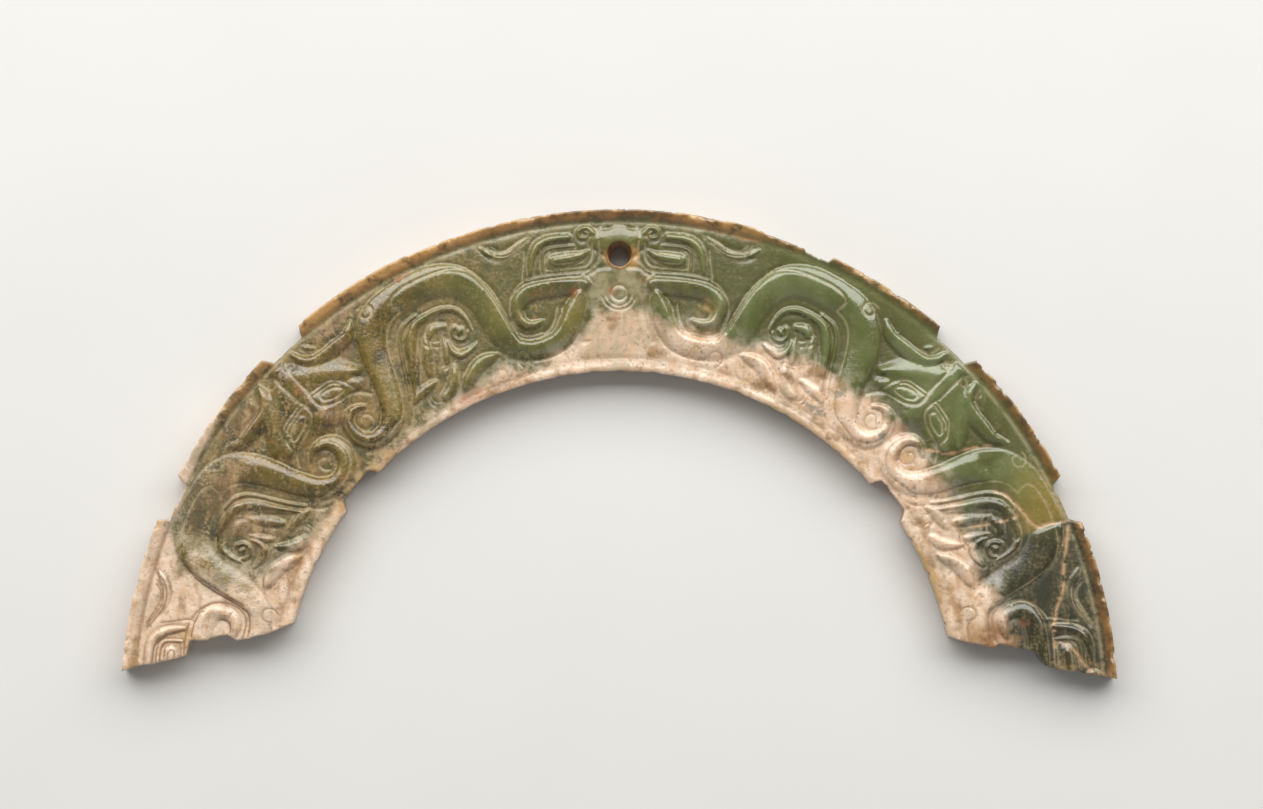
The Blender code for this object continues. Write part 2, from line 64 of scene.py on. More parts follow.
# The two worn ends: angles of their corners, then their worn line as (share from the outer to the inner corner,
# millimetres inwards)
LEFT_END = (-85.8, -75.4)
RIGHT_END = (86.7, 77.8)
LEFT_WORN = ((0, 0), (.24, -.3), (.37, -.48), (.41, 1.14), (.49, .8), (.62, .72), (.66, -.25), (.8, -.52),
             (.96, -.2), (1, 0))
RIGHT_WORN = ((0, 0), (.14, -.3), (.38, -.69), (.43, -.6), (.47, .4), (.49, .78), (.56, .6), (.7, .62), (.72, 0),
              (.87, -.2), (1, 0))

# Notches and wear of the rims: (angle, millimetres off the true radius)
OUTER_WEAR = ((-67.9, 0), (-67.3, -1.3), (-62.9, -1.3), (-62.3, 0), (-45.8, 0), (-45.1, -1.3), (-40.7, -1.3),
              (-40.1, .15), (-25.4, .2), (-25.1, 0), (16.6, 0), (17.2, -.35), (22, -.4), (22.3, -.75), (25.1, -.7),
              (25.5, 0), (40.1, 0), (40.7, -1.3), (45.1, -1.3), (45.8, 0), (62.3, 0), (62.9, -1.3), (67.3, -1.3),
              (67.9, 0))
INNER_WEAR = ((-54.3, 0), (-53.2, 1.1), (-46.9, 1.1), (-45.7, 0), (48.3, 0), (49.2, 1.27), (55.3, 1.27),
              (56.4, 0))

# The pattern repeats mirrored at every fold: a half mask at the crown, one near 45 degrees, one at each end.
FOLD_ANGLE = 45.2
# The carver's left half drifts from the right one by up to a degree: (angle, drift) pairs.
LEFT_DRIFT = ((0, 0), (4, 0.2), (9, 0.6), (12.4, 0.6), (16.7, -0.3), (23, -0.3), (33, 0.6),
              (36.9, 0), (45.4, 0.2), (50.3, 1.1), (54, 0.9), (60.3, 0.3), (90, 0.2))

# The suspension hole, drilled as a cone from the front
HOLE_SHARE = 0.72
HOLE_MOUTH_RADIUS = 1.5
HOLE_BORE_RADIUS = 1.1
HOLE_CONE_DEPTH = 2.1
HOLE_LEAN = 0.25
HOLE_SIDES = 48

# How finely the stone is meshed
EDGE_SPACING = 0.25
ROW_SPACING = 0.2
GRID_SPACING = 0.25
CLOSEST = 0.1
EDGE_ROUNDING = 0.16
CORNER_GAP = 0.5
FOOT_DEPTH = .15
FOOT_WIDTH = .3
DUST_WIDTH = .12
# A leaning stroke falls evenly from its crest and ends in a step of this share of its flank
STEP_SHARE = .10
STEP_HEIGHT = .38
# Strokes that swell softly out of the field instead of standing on it
SOFT_STROKES = ("nose", "cheek", "eye mound")


def curl(centre, radii, turns, widths, lean=0, steps=7):
    """Points of a spiral about a centre; radii and half widths in stroke units, turns in degrees."""
    points = []
    for step in range(steps):
        t = step / (steps - 1)
        radius = (radii[0] + (radii[1] - radii[0]) * t) * STROKE_UNIT
        turn = math.radians(turns[0] + (turns[1] - turns[0]) * t)
        points.append((centre[0] + radius * math.cos(turn) / DEGREE,
                       centre[1] + radius * math.sin(turn) / BAND_WIDTH,
                       widths[0] + (widths[1] - widths[0]) * t, lean))
    return points


def even(points, width, lean=0):
    """The same half width and lean at every point of a stroke."""
    return [(angle, share, width, lean) for angle, share in points]


def tapering(points, widths, lean=0):
    """A stroke with a half width for each point."""
    return [(angle, share, width, lean) for (angle, share), width in zip(points, widths)]


def strokes():
    trunk = [(4.9, .53, .2, 0), (5.2, .48, .8, .2), (5.7, .41, 1.4, .35), (6.6, .325, 1.55, .5), (7.9, .255, 1.4, .55),
             (9.3, .215, 1.3, .6), (11, .198, 1.25, .6), (13.4, .197, 1.3, .6), (15.7, .225, 1.4, .65),
             (17.1, .29, 1.7, .72),
             (18.0, .375, 1.85, .75), (18.6, .475, 1.85, .75), (19.1, .565, 1.8, .72),
             (20.0, .65, 1.85, .65), (21.6, .74, 2.0, .55), (24, .787, 2.15, .45), (27, .79, 2.15, .4),
             (30, .775, 2.15, .3), (32.3, .715, 2.15, .35), (33.9, .61, 2.15, .45), (34.8, .49, 2.05, .5),
             (35.5, .38, 1.9, .5), (36.4, .285, 1.8, .45), (37.5, .212, 1.6, .4), (39.3, .157, 1.37, .4),
             (41.2, .148, 1.25, .42), (42.85, .174, 1.15, .42), (43.8, .24, 1.05, .4),
             (43.85, .31, .92, .3), (43.2, .365, .78, .1), (42.1, .39, .6, 0), (41.0, .385, .42, 0),
             (40.1, .36, .28, 0)]
    jaw = [(4.8, .54, 1.05, .6), (7, .537, 1.2, .75), (10.6, .54, 1.2, .75), (12.3, .53, 1.2, .6),
           (13.7, .495, 1.15, .3), (14.2, .44, .95, 0), (13.9, .38, .85, -.3), (13.0, .35, .7, -.4),
           (11.9, .345, .55, -.4), (10.7, .357, .3, -.3)]
    forehead = [(0, .80, 2.0, 0), (1.2, .80, 1.9, 0), (2.2, .815, 1.4, 0)]
    arch = [(21.75, .43, .2, .3), (21.95, .50, .3, .4), (22.7, .572, .4, .4), (24.2, .61, .45, .4),
            (26.2, .613, .5, .4), (27.9, .597, .6, .3), (29.0, .55, .7, .1), (29.8, .49, .72, 0),
            (30.5, .42, .6, 0), (31.3, .34, .45, 0), (32.4, .24, .3, 0), (33.3, .185, .2, 0)]
    horn = [(34.6, .822, .3, .2), (35.4, .79, .6, .4), (36.4, .757, .85, .6), (38.2, .75, 1.0, .65),
            (40.2, .75, 1.0, .65), (41.6, .775, .85, .5), (42.4, .83, .6, .3), (42.7, .895, .35, 0)]
    return (
        ("trunk", 1.0, trunk),
        ("jaw", .85, jaw),
        ("forehead", .5, forehead),
        ("brow curl", .7, curl((4.0, .853), (.95, .3), (180, -260), (.4, .22))),
        ("brow", .75, [(5.9, .845, .5, -.2), (8.0, .847, .56, -.2), (9.3, .825, .6, -.2),
         (10.2, .77, .56, 0), (10.7, .71, .46, 0), (11.0, .655, .3, 0)]),
        ("brow rib", .5, even([(5.4, .787), (8.0, .787), (8.9, .765), (9.2, .71), (9.3, .655)], .22)),
        ("eye", .62, tapering([(3.7, .75), (4.5, .728), (5.6, .712), (6.8, .708), (7.7, .71)],
                              (.2, .5, .8, .88, .8), .25)),
        ("wing", .2, [(10.5, .877, .15, 0), (11.6, .85, .3, .3), (12.9, .817, .45, .3),
         (14.2, .80, .5, .3), (15.4, .812, .5, 0), (16.4, .848, .45, -.3), (17.2, .89, .2, 0)]),
        ("wing tip", .5, tapering([(15.5, .812), (16.2, .835), (16.8, .86), (17.3, .885)], (.2, .45, .4, .15), .3)),
        ("arch", .68, arch),
        ("arch rib", .5, even([(27.4, .65), (29.2, .628), (30.4, .57), (31.2, .49), (31.9, .40),
         (32.8, .30), (33.7, .23)], .3)),
        ("ball", .75, even([(23.15, .455), (23.4, .442)], .45)),
        ("ball ring", .6, curl((23.2, .44), (1.0, .95), (65, -165), (.36, .25))),
        ("crescent", .65, [(21.7, .34, .2, -.5), (23.0, .32, .42, -.5), (24.4, .318, .55, -.5),
         (25.2, .36, .45, 0), (25.2, .42, .25, 0)]),
        ("scroll", .85, [(19.4, .23, .3, .3), (20.3, .225, .7, .4), (22, .215, .95, .4),
         (23.6, .182, .95, .4), (25, .14, .8, .3), (26, .098, .45, 0)]),
        ("lump", .4, tapering([(25.0, .515), (26.2, .525), (27.0, .50)], (.5, .7, .5))),
        ("short leaf", .4, tapering([(25.6, .445), (25.9, .39), (26.3, .33), (26.6, .30)],
         (.2, .45, .55, .3))),
        ("long leaf", .45, tapering([(27.6, .50), (28.1, .43), (28.8, .36), (29.3, .30)],
         (.3, .6, .72, .6))),
        ("outer leaf", .32, tapering([(28.9, .52), (29.6, .44), (30.5, .36), (31.2, .29)],
         (.2, .4, .45, .3))),
        ("low leaf", .5, tapering([(25.8, .27), (26.4, .215), (27.5, .155), (28.9, .125)],
         (.3, .65, .85, .7))),
        ("side leaf", .42, tapering([(29.2, .235), (30.7, .225), (32.2, .215), (33.4, .195)],
         (.4, .7, .7, .4))),
        ("horn", .85, horn),
        ("drop", .45, tapering([(40.3, .832), (40.8, .855), (41.2, .885)], (.2, .36, .25))),
        ("nose", .8, tapering([(45.2, .90), (45.2, .80), (45.2, .72), (45.2, .64), (45.2, .56), (45.2, .47)],
                              (1.3, 1.8, 2.1, 2.4, 2.7, 2.0))),
        ("cheek", .85, tapering([(38.0, .565), (39.3, .61), (40.8, .655), (42.3, .70), (43.5, .745), (44.4, .79)],
                                (.8, 1.5, 2.2, 2.5, 2.2, 1.6))),
        ("eye mound", .62, tapering([(38.9, .50), (40.4, .535), (42.4, .55), (45.2, .545)],
                                    (1.0, 2.2, 2.9, 3.4))),
    )


def furrows():
    """Incised lines: depth, half width, points."""
    fine, line, broad = .15, .19, .3
    return (
        (line, .2, [(15.9, .33), (16.3, .40), (16.9, .49), (17.5, .585), (18.3, .69), (19.3, .765),
         (20.8, .81), (22.6, .832), (25, .84), (27.2, .836), (28.6, .818), (29.15, .785), (29.0, .75),
         (28.75, .715)]),
        (line, .2, [(28.75, .715), (30.1, .695), (31.2, .65), (32.0, .585), (32.7, .505), (33.3, .42),
         (34.2, .31), (35.3, .225), (36.6, .17), (38.2, .15), (41, .127), (43, .158), (44.1, .22),
         (44.25, .30), (43.6, .365), (42.4, .40)]),
        (fine, .17, [(4.3, .43), (4.9, .34), (5.8, .25), (7.2, .18), (9, .143), (11.2, .125), (13.4, .13),
         (14.0, .15)]),
        (fine, .17, curl((4.0, .853), (1.45, .62), (200, -150), (0, 0), steps=10)),
        (fine, .17, curl((15.4, .155), (1.0, 1.0), (200, -60), (0, 0))),
        (broad, .5, [(3.3, .40), (3.9, .34), (4.6, .27), (5.3, .20)]),
        (fine, .15, [(4.3, .738), (5.0, .735), (6.6, .733), (7.6, .727), (7.95, .708), (7.6, .69), (6.2, .685),
         (5.0, .69), (4.5, .712), (4.3, .738)]),
        (line, .22, [(1.2, .645), (2.6, .642), (3.3, .62), (4.1, .597)]),
        (line, .25, [(2.4, .80), (2.4, .72), (2.9, .665), (3.9, .63), (5.5, .628), (10, .637),
         (11.6, .63)]),
        (fine, .18, [(3.2, .79), (3.2, .73), (3.6, .685), (4.6, .655), (8.4, .655), (8.9, .69),
         (8.75, .745), (8.2, .765)]),
        (fine, .17, [(11.2, .80), (11.5, .74), (12.1, .66), (12.3, .62)]),
        (fine, .16, curl((32.3, .82), (1.05, .35), (60, 480), (0, 0), steps=14)),
        (line, .18, [(43.9, .885), (44.35, .86), (44.4, .75), (44.4, .66), (44.65, .60), (44.45, .545),
         (43.3, .505), (42, .487), (40.5, .473), (39.3, .445), (38.3, .395)]),
        (fine, .15, curl((43.8, .845), (.45, .45), (60, 330), (0, 0))),
        (fine, .16, [(44.4, .642), (43, .635), (41.5, .622), (40.7, .59), (40.05, .55), (39.7, .49)]),
        (fine, .15, [(44.2, .617), (43, .61), (41.6, .60), (40.9, .572)]),
        (fine, .15, [(40.9, .54), (41.8, .575), (43.4, .592), (43.75, .56), (43, .532), (41.8, .517),
         (40.8, .52), (40.9, .54)]),
        (fine, .13, [(10.2, .878), (11.2, .866), (12.2, .838), (13.2, .82), (14.2, .818), (15.2, .835),
         (16.1, .88)]),
        (fine, .13, [(10.8, .888), (11.8, .865), (12.8, .842), (13.9, .832), (14.9, .842), (15.6, .878)]),
        (fine, .13, [(11.2, .85), (12.4, .815), (13.6, .798), (14.9, .805), (15.9, .83), (16.6, .868)]),
        (fine, .18, [(12.2, .625), (13.6, .59), (14.9, .53), (15.55, .45), (15.3, .36), (14.4, .305),
         (13, .285), (11, .29)]),
        (broad, .3, [(7.4, .43), (7.9, .37), (8.8, .305), (9.7, .275)]),
        (broad, .28, [(8.2, .43), (8.8, .36), (9.6, .31), (10.5, .285)]),
        (fine, .13, [(26.2, .445), (27, .46), (27.6, .49)]),
        (fine, .13, [(26.7, .415), (27.5, .432), (28.1, .462)]),
        (fine, .15, [(25.2, .297), (26.2, .29), (27.3, .30)]),
        (fine, .15, [(25.2, .272), (26.2, .268), (27.2, .275)]),
        (fine, .15, [(29.6, .10), (30.6, .125), (30.7, .16)]),
        (fine, .15, [(30.3, .095), (31.2, .115), (31.2, .155)]),
        (fine, .15, [(41.7, .885), (41.4, .84), (40.9, .815), (40.2, .808)]),
        (fine, .15, curl((41.3, .29), (1.55, .5), (80, -330), (0, 0), steps=10)),
        (fine, .13, curl((0, .487), (2.1, 2.1), (-160, -15), (0, 0))),
        (fine, .13, curl((0, .487), (1.6, 1.6), (-165, -15), (0, 0))),
        (fine, .13, curl((0, .487), (.9, .9), (-180, 180), (0, 0), steps=12)),
        (fine, .18, [(33.6, .21), (34.6, .145), (36.2, .10), (38, .08)]),
    )


def smooth_curve(points, spacing):
    """Points of a Catmull-Rom curve, in metres on the unrolled band, with any further values carried along."""
    places = np.array([(p[0] * DEGREE, p[1] * BAND_WIDTH) + tuple(p[2:]) for p in points], float)
    places = np.vstack([2 * places[0] - places[1], places, 2 * places[-1] - places[-2]])
    curve = []
    for before, start, end, after in zip(places, places[1:], places[2:], places[3:]):
        count = max(1, round(math.dist(start[:2], end[:2]) / spacing))
        t = (np.arange(count) / count)[:, None]
        curve.append(0.5 * (2 * start + (end - before) * t + (2 * before - 5 * start + 4 * end - after) * t ** 2
                            + (3 * start - before - 3 * end + after) * t ** 3))
    curve.append(places[-2:-1])
    return np.vstack(curve)


def nearest(curve, u, v, reach):
    """For each point, sorted by u: its distance from the curve, and the place along it and side of it."""
    distance = np.full(len(u), np.inf)
    place = np.zeros(len(u))
    side = np.ones(len(u))
    run = 8
    for first in range(0, len(curve) - 1, run):
        piece = curve[first:first + run + 1, :2]
        low, high = np.searchsorted(u, (piece[:, 0].min() - reach, piece[:, 0].max() + reach))
        near = low + np.flatnonzero((v[low:high] > piece[:, 1].min() - reach)
                                    & (v[low:high] < piece[:, 1].max() + reach))
        if not len(near):
            continue
        start, step = piece[:-1], np.diff(piece, axis=0)
        du = u[near][:, None] - start[:, 0]
        dv = v[near][:, None] - start[:, 1]
        along = np.clip((du * step[:, 0] + dv * step[:, 1]) / (step ** 2).sum(1), 0, 1)
        gap = np.hypot(du - along * step[:, 0], dv - along * step[:, 1])
        best = gap.argmin(1)
        row = np.arange(len(near))
        closer = gap[row, best] < distance[near]
        near, best, row = near[closer], best[closer], row[closer]
        distance[near] = gap[row, best]
        place[near] = first + best + along[row, best]
        side[near] = np.sign(step[best, 0] * dv[row, best] - step[best, 1] * du[row, best])
    return distance, place, side


def ease(x):
    x = np.clip(x, 0, 1)
    return x * x * (3 - 2 * x)


def pattern_angle(angle):
    drift = np.interp(-angle, *zip(*LEFT_DRIFT))
    folded = np.abs(angle) - drift
    return np.where(folded > FOLD_ANGLE, 2 * FOLD_ANGLE - folded, folded)


def crest_profile(across, lean):
    """Height across a stroke, from its right foot at -1 to its left foot at 1, bevelled where it leans."""
    t = np.clip(np.where(across > lean, (across - lean) / (1 - lean), (lean - across) / (1 + lean)), 0, 1)
    bevel = np.where(lean * (across - lean) > 0, np.minimum(1, np.abs(lean) / .4), 0)
    slope = (1 - STEP_HEIGHT) * t - STEP_HEIGHT * .1 * np.sin(t * math.pi)
    edge = STEP_HEIGHT * ease((t - 1 + STEP_SHARE) / STEP_SHARE)
    return (1 - bevel) * (1 - t ** 2) + bevel * (1 - slope - edge)


def noise(x, y, size, seed):
    """Smooth noise from -1 to 1, with lumps of a size."""
    x, y = x / size, y / size
    column, row = np.floor(x), np.floor(y)
    across, up = ease(x - column), ease(y - row)

    def corner(i, j):
        turn = np.sin((column + i) * 127.1 + (row + j) * 311.7 + seed * 74.7) * 43758.5453
        return 2 * (turn - np.floor(turn)) - 1

    low = corner(0, 0) * (1 - across) + corner(1, 0) * across
    high = corner(0, 1) * (1 - across) + corner(1, 1) * across
    return low * (1 - up) + high * up


def rough_noise(x, y, size, seed):
    """Noise with three sizes of lump."""
    return (noise(x, y, size, seed) + .5 * noise(x, y, size * .47, seed + 1)
            + .25 * noise(x, y, size * .22, seed + 2)) / 1.75


def on_band(angle, share):
    """The place in the plane of a point on the band, from the arch's centre."""
    radius = INNER_RADIUS + share * BAND_WIDTH
    turn = np.radians(angle)
    return np.stack([radius * np.sin(turn), radius * np.cos(turn)], -1)


def to_band(places):
    """Angle and share of places in the plane."""
    radius = np.hypot(places[:, 0], places[:, 1])
    return np.degrees(np.arctan2(places[:, 0], places[:, 1])), (radius - INNER_RADIUS) / BAND_WIDTH


def gap_to(angle, share, points, reach):
    """Distance of each place on the band from a line drawn on it, up to a reach."""
    order = np.argsort(angle)
    curve = smooth_curve([p[:2] for p in points], 0.3 * STROKE_UNIT)
    distance, _, _ = nearest(curve, angle[order] * DEGREE, share[order] * BAND_WIDTH, reach)
    result = np.empty(len(angle))
    result[order] = distance
    return result


def carving(angle, share):
    """Of the carved front: height over the sunk field as a share of RELIEF_HEIGHT, polish, and grooves."""
    dusty = np.interp(angle, (-70, -12, 12, 20, 58, 66), (1, .9, .6, .3, .3, .8))
    angle = pattern_angle(angle)
    order = np.argsort(angle)
    dusty = dusty[order]
    u = angle[order] * DEGREE
    v = share[order] * BAND_WIDTH
    raised = np.zeros(len(u))
    foot = np.zeros(len(u))
    line = np.zeros(len(u))
    swell = np.zeros(len(u))
    for name, height, points in strokes():
        curve = smooth_curve(points, 0.3 * STROKE_UNIT)
        margin = (curve[:, 2].max() + 1) * STROKE_UNIT
        distance, place, side = nearest(curve, u, v, margin)
        steps = np.arange(len(curve))
        width = np.interp(place, steps, curve[:, 2]) * STROKE_UNIT
        if name in SOFT_STROKES:
            rise = height * (1 - np.minimum(distance / width, 1) ** 2) ** 2
            swell = swell + rise - swell * rise
            continue
        lean = np.interp(place, steps, curve[:, 3])
        across = np.minimum(distance / width, 1) * side
        narrow = np.minimum(1, width / (0.6 * STROKE_UNIT))
        rise = np.where(distance < width, height * narrow * crest_profile(across, lean), 0)
        raised = np.maximum(raised, rise)
        sharp = 1 - .6 * ease(np.abs(lean) / .4) * (side * lean < 0)
        foot = np.maximum(foot, sharp * np.exp(-((distance - width) / (FOOT_WIDTH * STROKE_UNIT)) ** 2))
        line = np.maximum(line, sharp * np.exp(-((distance - width * 1.02) / (DUST_WIDTH * STROKE_UNIT)) ** 2))
    raised = np.maximum(raised, swell)
    clear = 1 - ease(raised / .35)
    cut = FOOT_DEPTH * foot * clear
    dust = line * clear * dusty
    for depth, half_width, points in furrows():
        curve = smooth_curve([p[:2] for p in points], 0.3 * STROKE_UNIT)
        distance, _, _ = nearest(curve, u, v, 2 * STROKE_UNIT)
        groove = np.exp(-(distance / (half_width * STROKE_UNIT)) ** 2)
        cut = np.maximum(cut, depth * groove)
        dust = np.maximum(dust, np.exp(-(distance / (DUST_WIDTH * STROKE_UNIT)) ** 2) * min(1, .3 / half_width))
    result = np.empty((3, len(u)))
    result[:, order] = raised - cut, ease(raised / .45), dust
    return result


# Cracks of the stone: half width, depth, and the line, all in the plaque's own angles
CRACKS = (
    (.14, .10, ((67.3, .92), (67.3, .88), (66.8, .80), (66.6, .74), (65.8, .71), (64, .69), (62.5, .67), (61, .64),
                (60.2, .60))),
    (.16, .08, ((68, .91), (70, .86), (72, .81), (74.5, .77), (76, .735), (77, .70), (78.3, .67), (79.5, .655),
                (82, .64))),
    (.13, .08, ((80.5, .65), (82, .70), (83, .76), (84.5, .80), (86, .87))),
    (.09, .05, ((64.3, .65), (64.2, .58), (63.8, .52), (63.5, .46), (62.8, .36))),
    (.09, .05, ((54.7, .73), (53.8, .64), (52.3, .49), (51.2, .45), (50.2, .41), (48.3, .375))),
)


def front(angle, share):
    """Height of the front over the underside, and the shares of polish, groove, crack and chip."""
    along = np.radians(angle) * MIDDLE_RADIUS
    across = share * BAND_WIDTH
    carved, polish, groove = carving(angle, share)
    field = ease((.912 - share) / .02) * ease((share - .088) / .03)
    outer_rim = ease((share - .925) / .02) * .16 + np.clip((share - .935) / .06, 0, 1) * .50
    inner_rim = .16 * ease(1 - np.abs(share - .028) / .032)
    channel = np.exp(-((share - .918) / .012) ** 2) * np.interp(angle, (10, 16, 38, 44), (1, .2, .2, 1))
    channel += np.exp(-((share - .088) / .012) ** 2) * (.5 + .5 * noise(along, across, 4, 71))
    chipped = np.interp(angle, (-60, -40, -5, 5, 12, 40, 48, 70, 84, 88), (.35, .4, .1, .1, .6, .75, .4, .3, .6, .8))
    ragged = rough_noise(along, across * .6, 1.5, 3)
    chip = ease((ragged - .4 + .55 * chipped) / .12) * ease((share - .925 - .03 * (1 + ragged)) / .02)
    chalky = cream(angle, share)
    carved *= 1 - .35 * ease(chalky / 2 + .5)
    carved *= 1 - np.interp(angle, (54, 56.6, 67, 67.4, 74, 80), (0, .85, .85, .45, .45, 0)) * ease((share - np.interp(angle, (66, 68), (.56, .36))) / .08)
    worn = np.interp(-angle, (54, 58, 68, 72), (0, .75, .75, 0)) * ease((share - .60) / .12)
    worn = np.maximum(worn, .55 * np.clip(2 * spot(np.abs(angle), share, (62.3, .47), (4.6, .14)), 0, 1))
    carved *= 1 - worn
    polish *= 1 - worn
    shoulder = .22 * ease((share - .83) / .1) * np.interp(angle, (15, 21, 52, 58), (0, 1, 1, 0))
    height = carved * field + outer_rim
    height = np.where(shoulder > 0, np.maximum(height, shoulder), height)
    height += inner_rim - .13 * channel - chip * .28
    crack = np.zeros(len(angle))
    stray = .16 * rough_noise(along, across, .8, 61)
    for half_width, depth, points in CRACKS:
        gap = gap_to(angle + stray / DEGREE, share + stray / BAND_WIDTH, points, 1.2)
        height = height - depth * np.exp(-(gap / half_width) ** 2)
        crack = np.maximum(crack, np.exp(-(gap / (half_width * 1.3)) ** 2))
    lumps = .035 * rough_noise(along, across, 2.6, 11) + .02 * rough_noise(along, across, .7, 17)
    lumps += .02 * rough_noise(along, across, .4, 19) * (1 - .7 * polish)
    pits = ease((rough_noise(along, across * 1.4, .9, 23) - .46) / .2) * ease(chalky + .3)
    height = height + lumps - .09 * pits
    # The shoulder under the outer rim counts as polished: glossier, and spared the painted shade of the sunk field
    slope = ease((share - .83) / .05) * np.interp(angle, (15, 21, 52, 58), (0, .6, .6, 0))
    polish = np.maximum(polish * field, slope * (1 - ease((share - .925) / .02)))
    groove = np.maximum(groove * field, np.clip(channel, 0, 1) * .8)
    under_rim = np.exp(-((share - .905) / .022) ** 2) * np.interp(angle, (-50, -30, 8, 16), (0, .7, .7, 0))
    groove = np.maximum(groove, under_rim * (1 - .6 * polish))
    return FIELD_THICKNESS + RELIEF_HEIGHT * height, polish, groove, crack, chip, pits


def cream(angle, share):
    """How far a place lies inside the stone's cream, altered parts; below 0 outside them."""
    limit = np.interp(angle, (-60, -50, -40, -30, -27, -20, -14, -8, -5, -3, 0, 3, 8, 20, 24, 30, 38, 42, 50, 62,
                              66, 70, 74, 80, 88),
                      (.10, .05, .05, .06, .08, .13, .10, .14, .27, .38, .43, .38, .32, .30, .34, .36, .38, .40, .38,
                       .35, .30, .30, .37, .37, .36))
    low = (limit - share) / .06
    end = (-angle - np.interp(share, (0, .10, .20, .30, .80, .90, .93, 1), (56, 60, 66, 70.5, 71, 68, 60, 50))) / 2.5
    return np.maximum(low, end)


def spot(angle, share, middle, size):
    """1 at the middle of an oval stain, 0 at its edge."""
    return 1 - np.hypot((angle - middle[0]) / size[0], (share - middle[1]) / size[1])


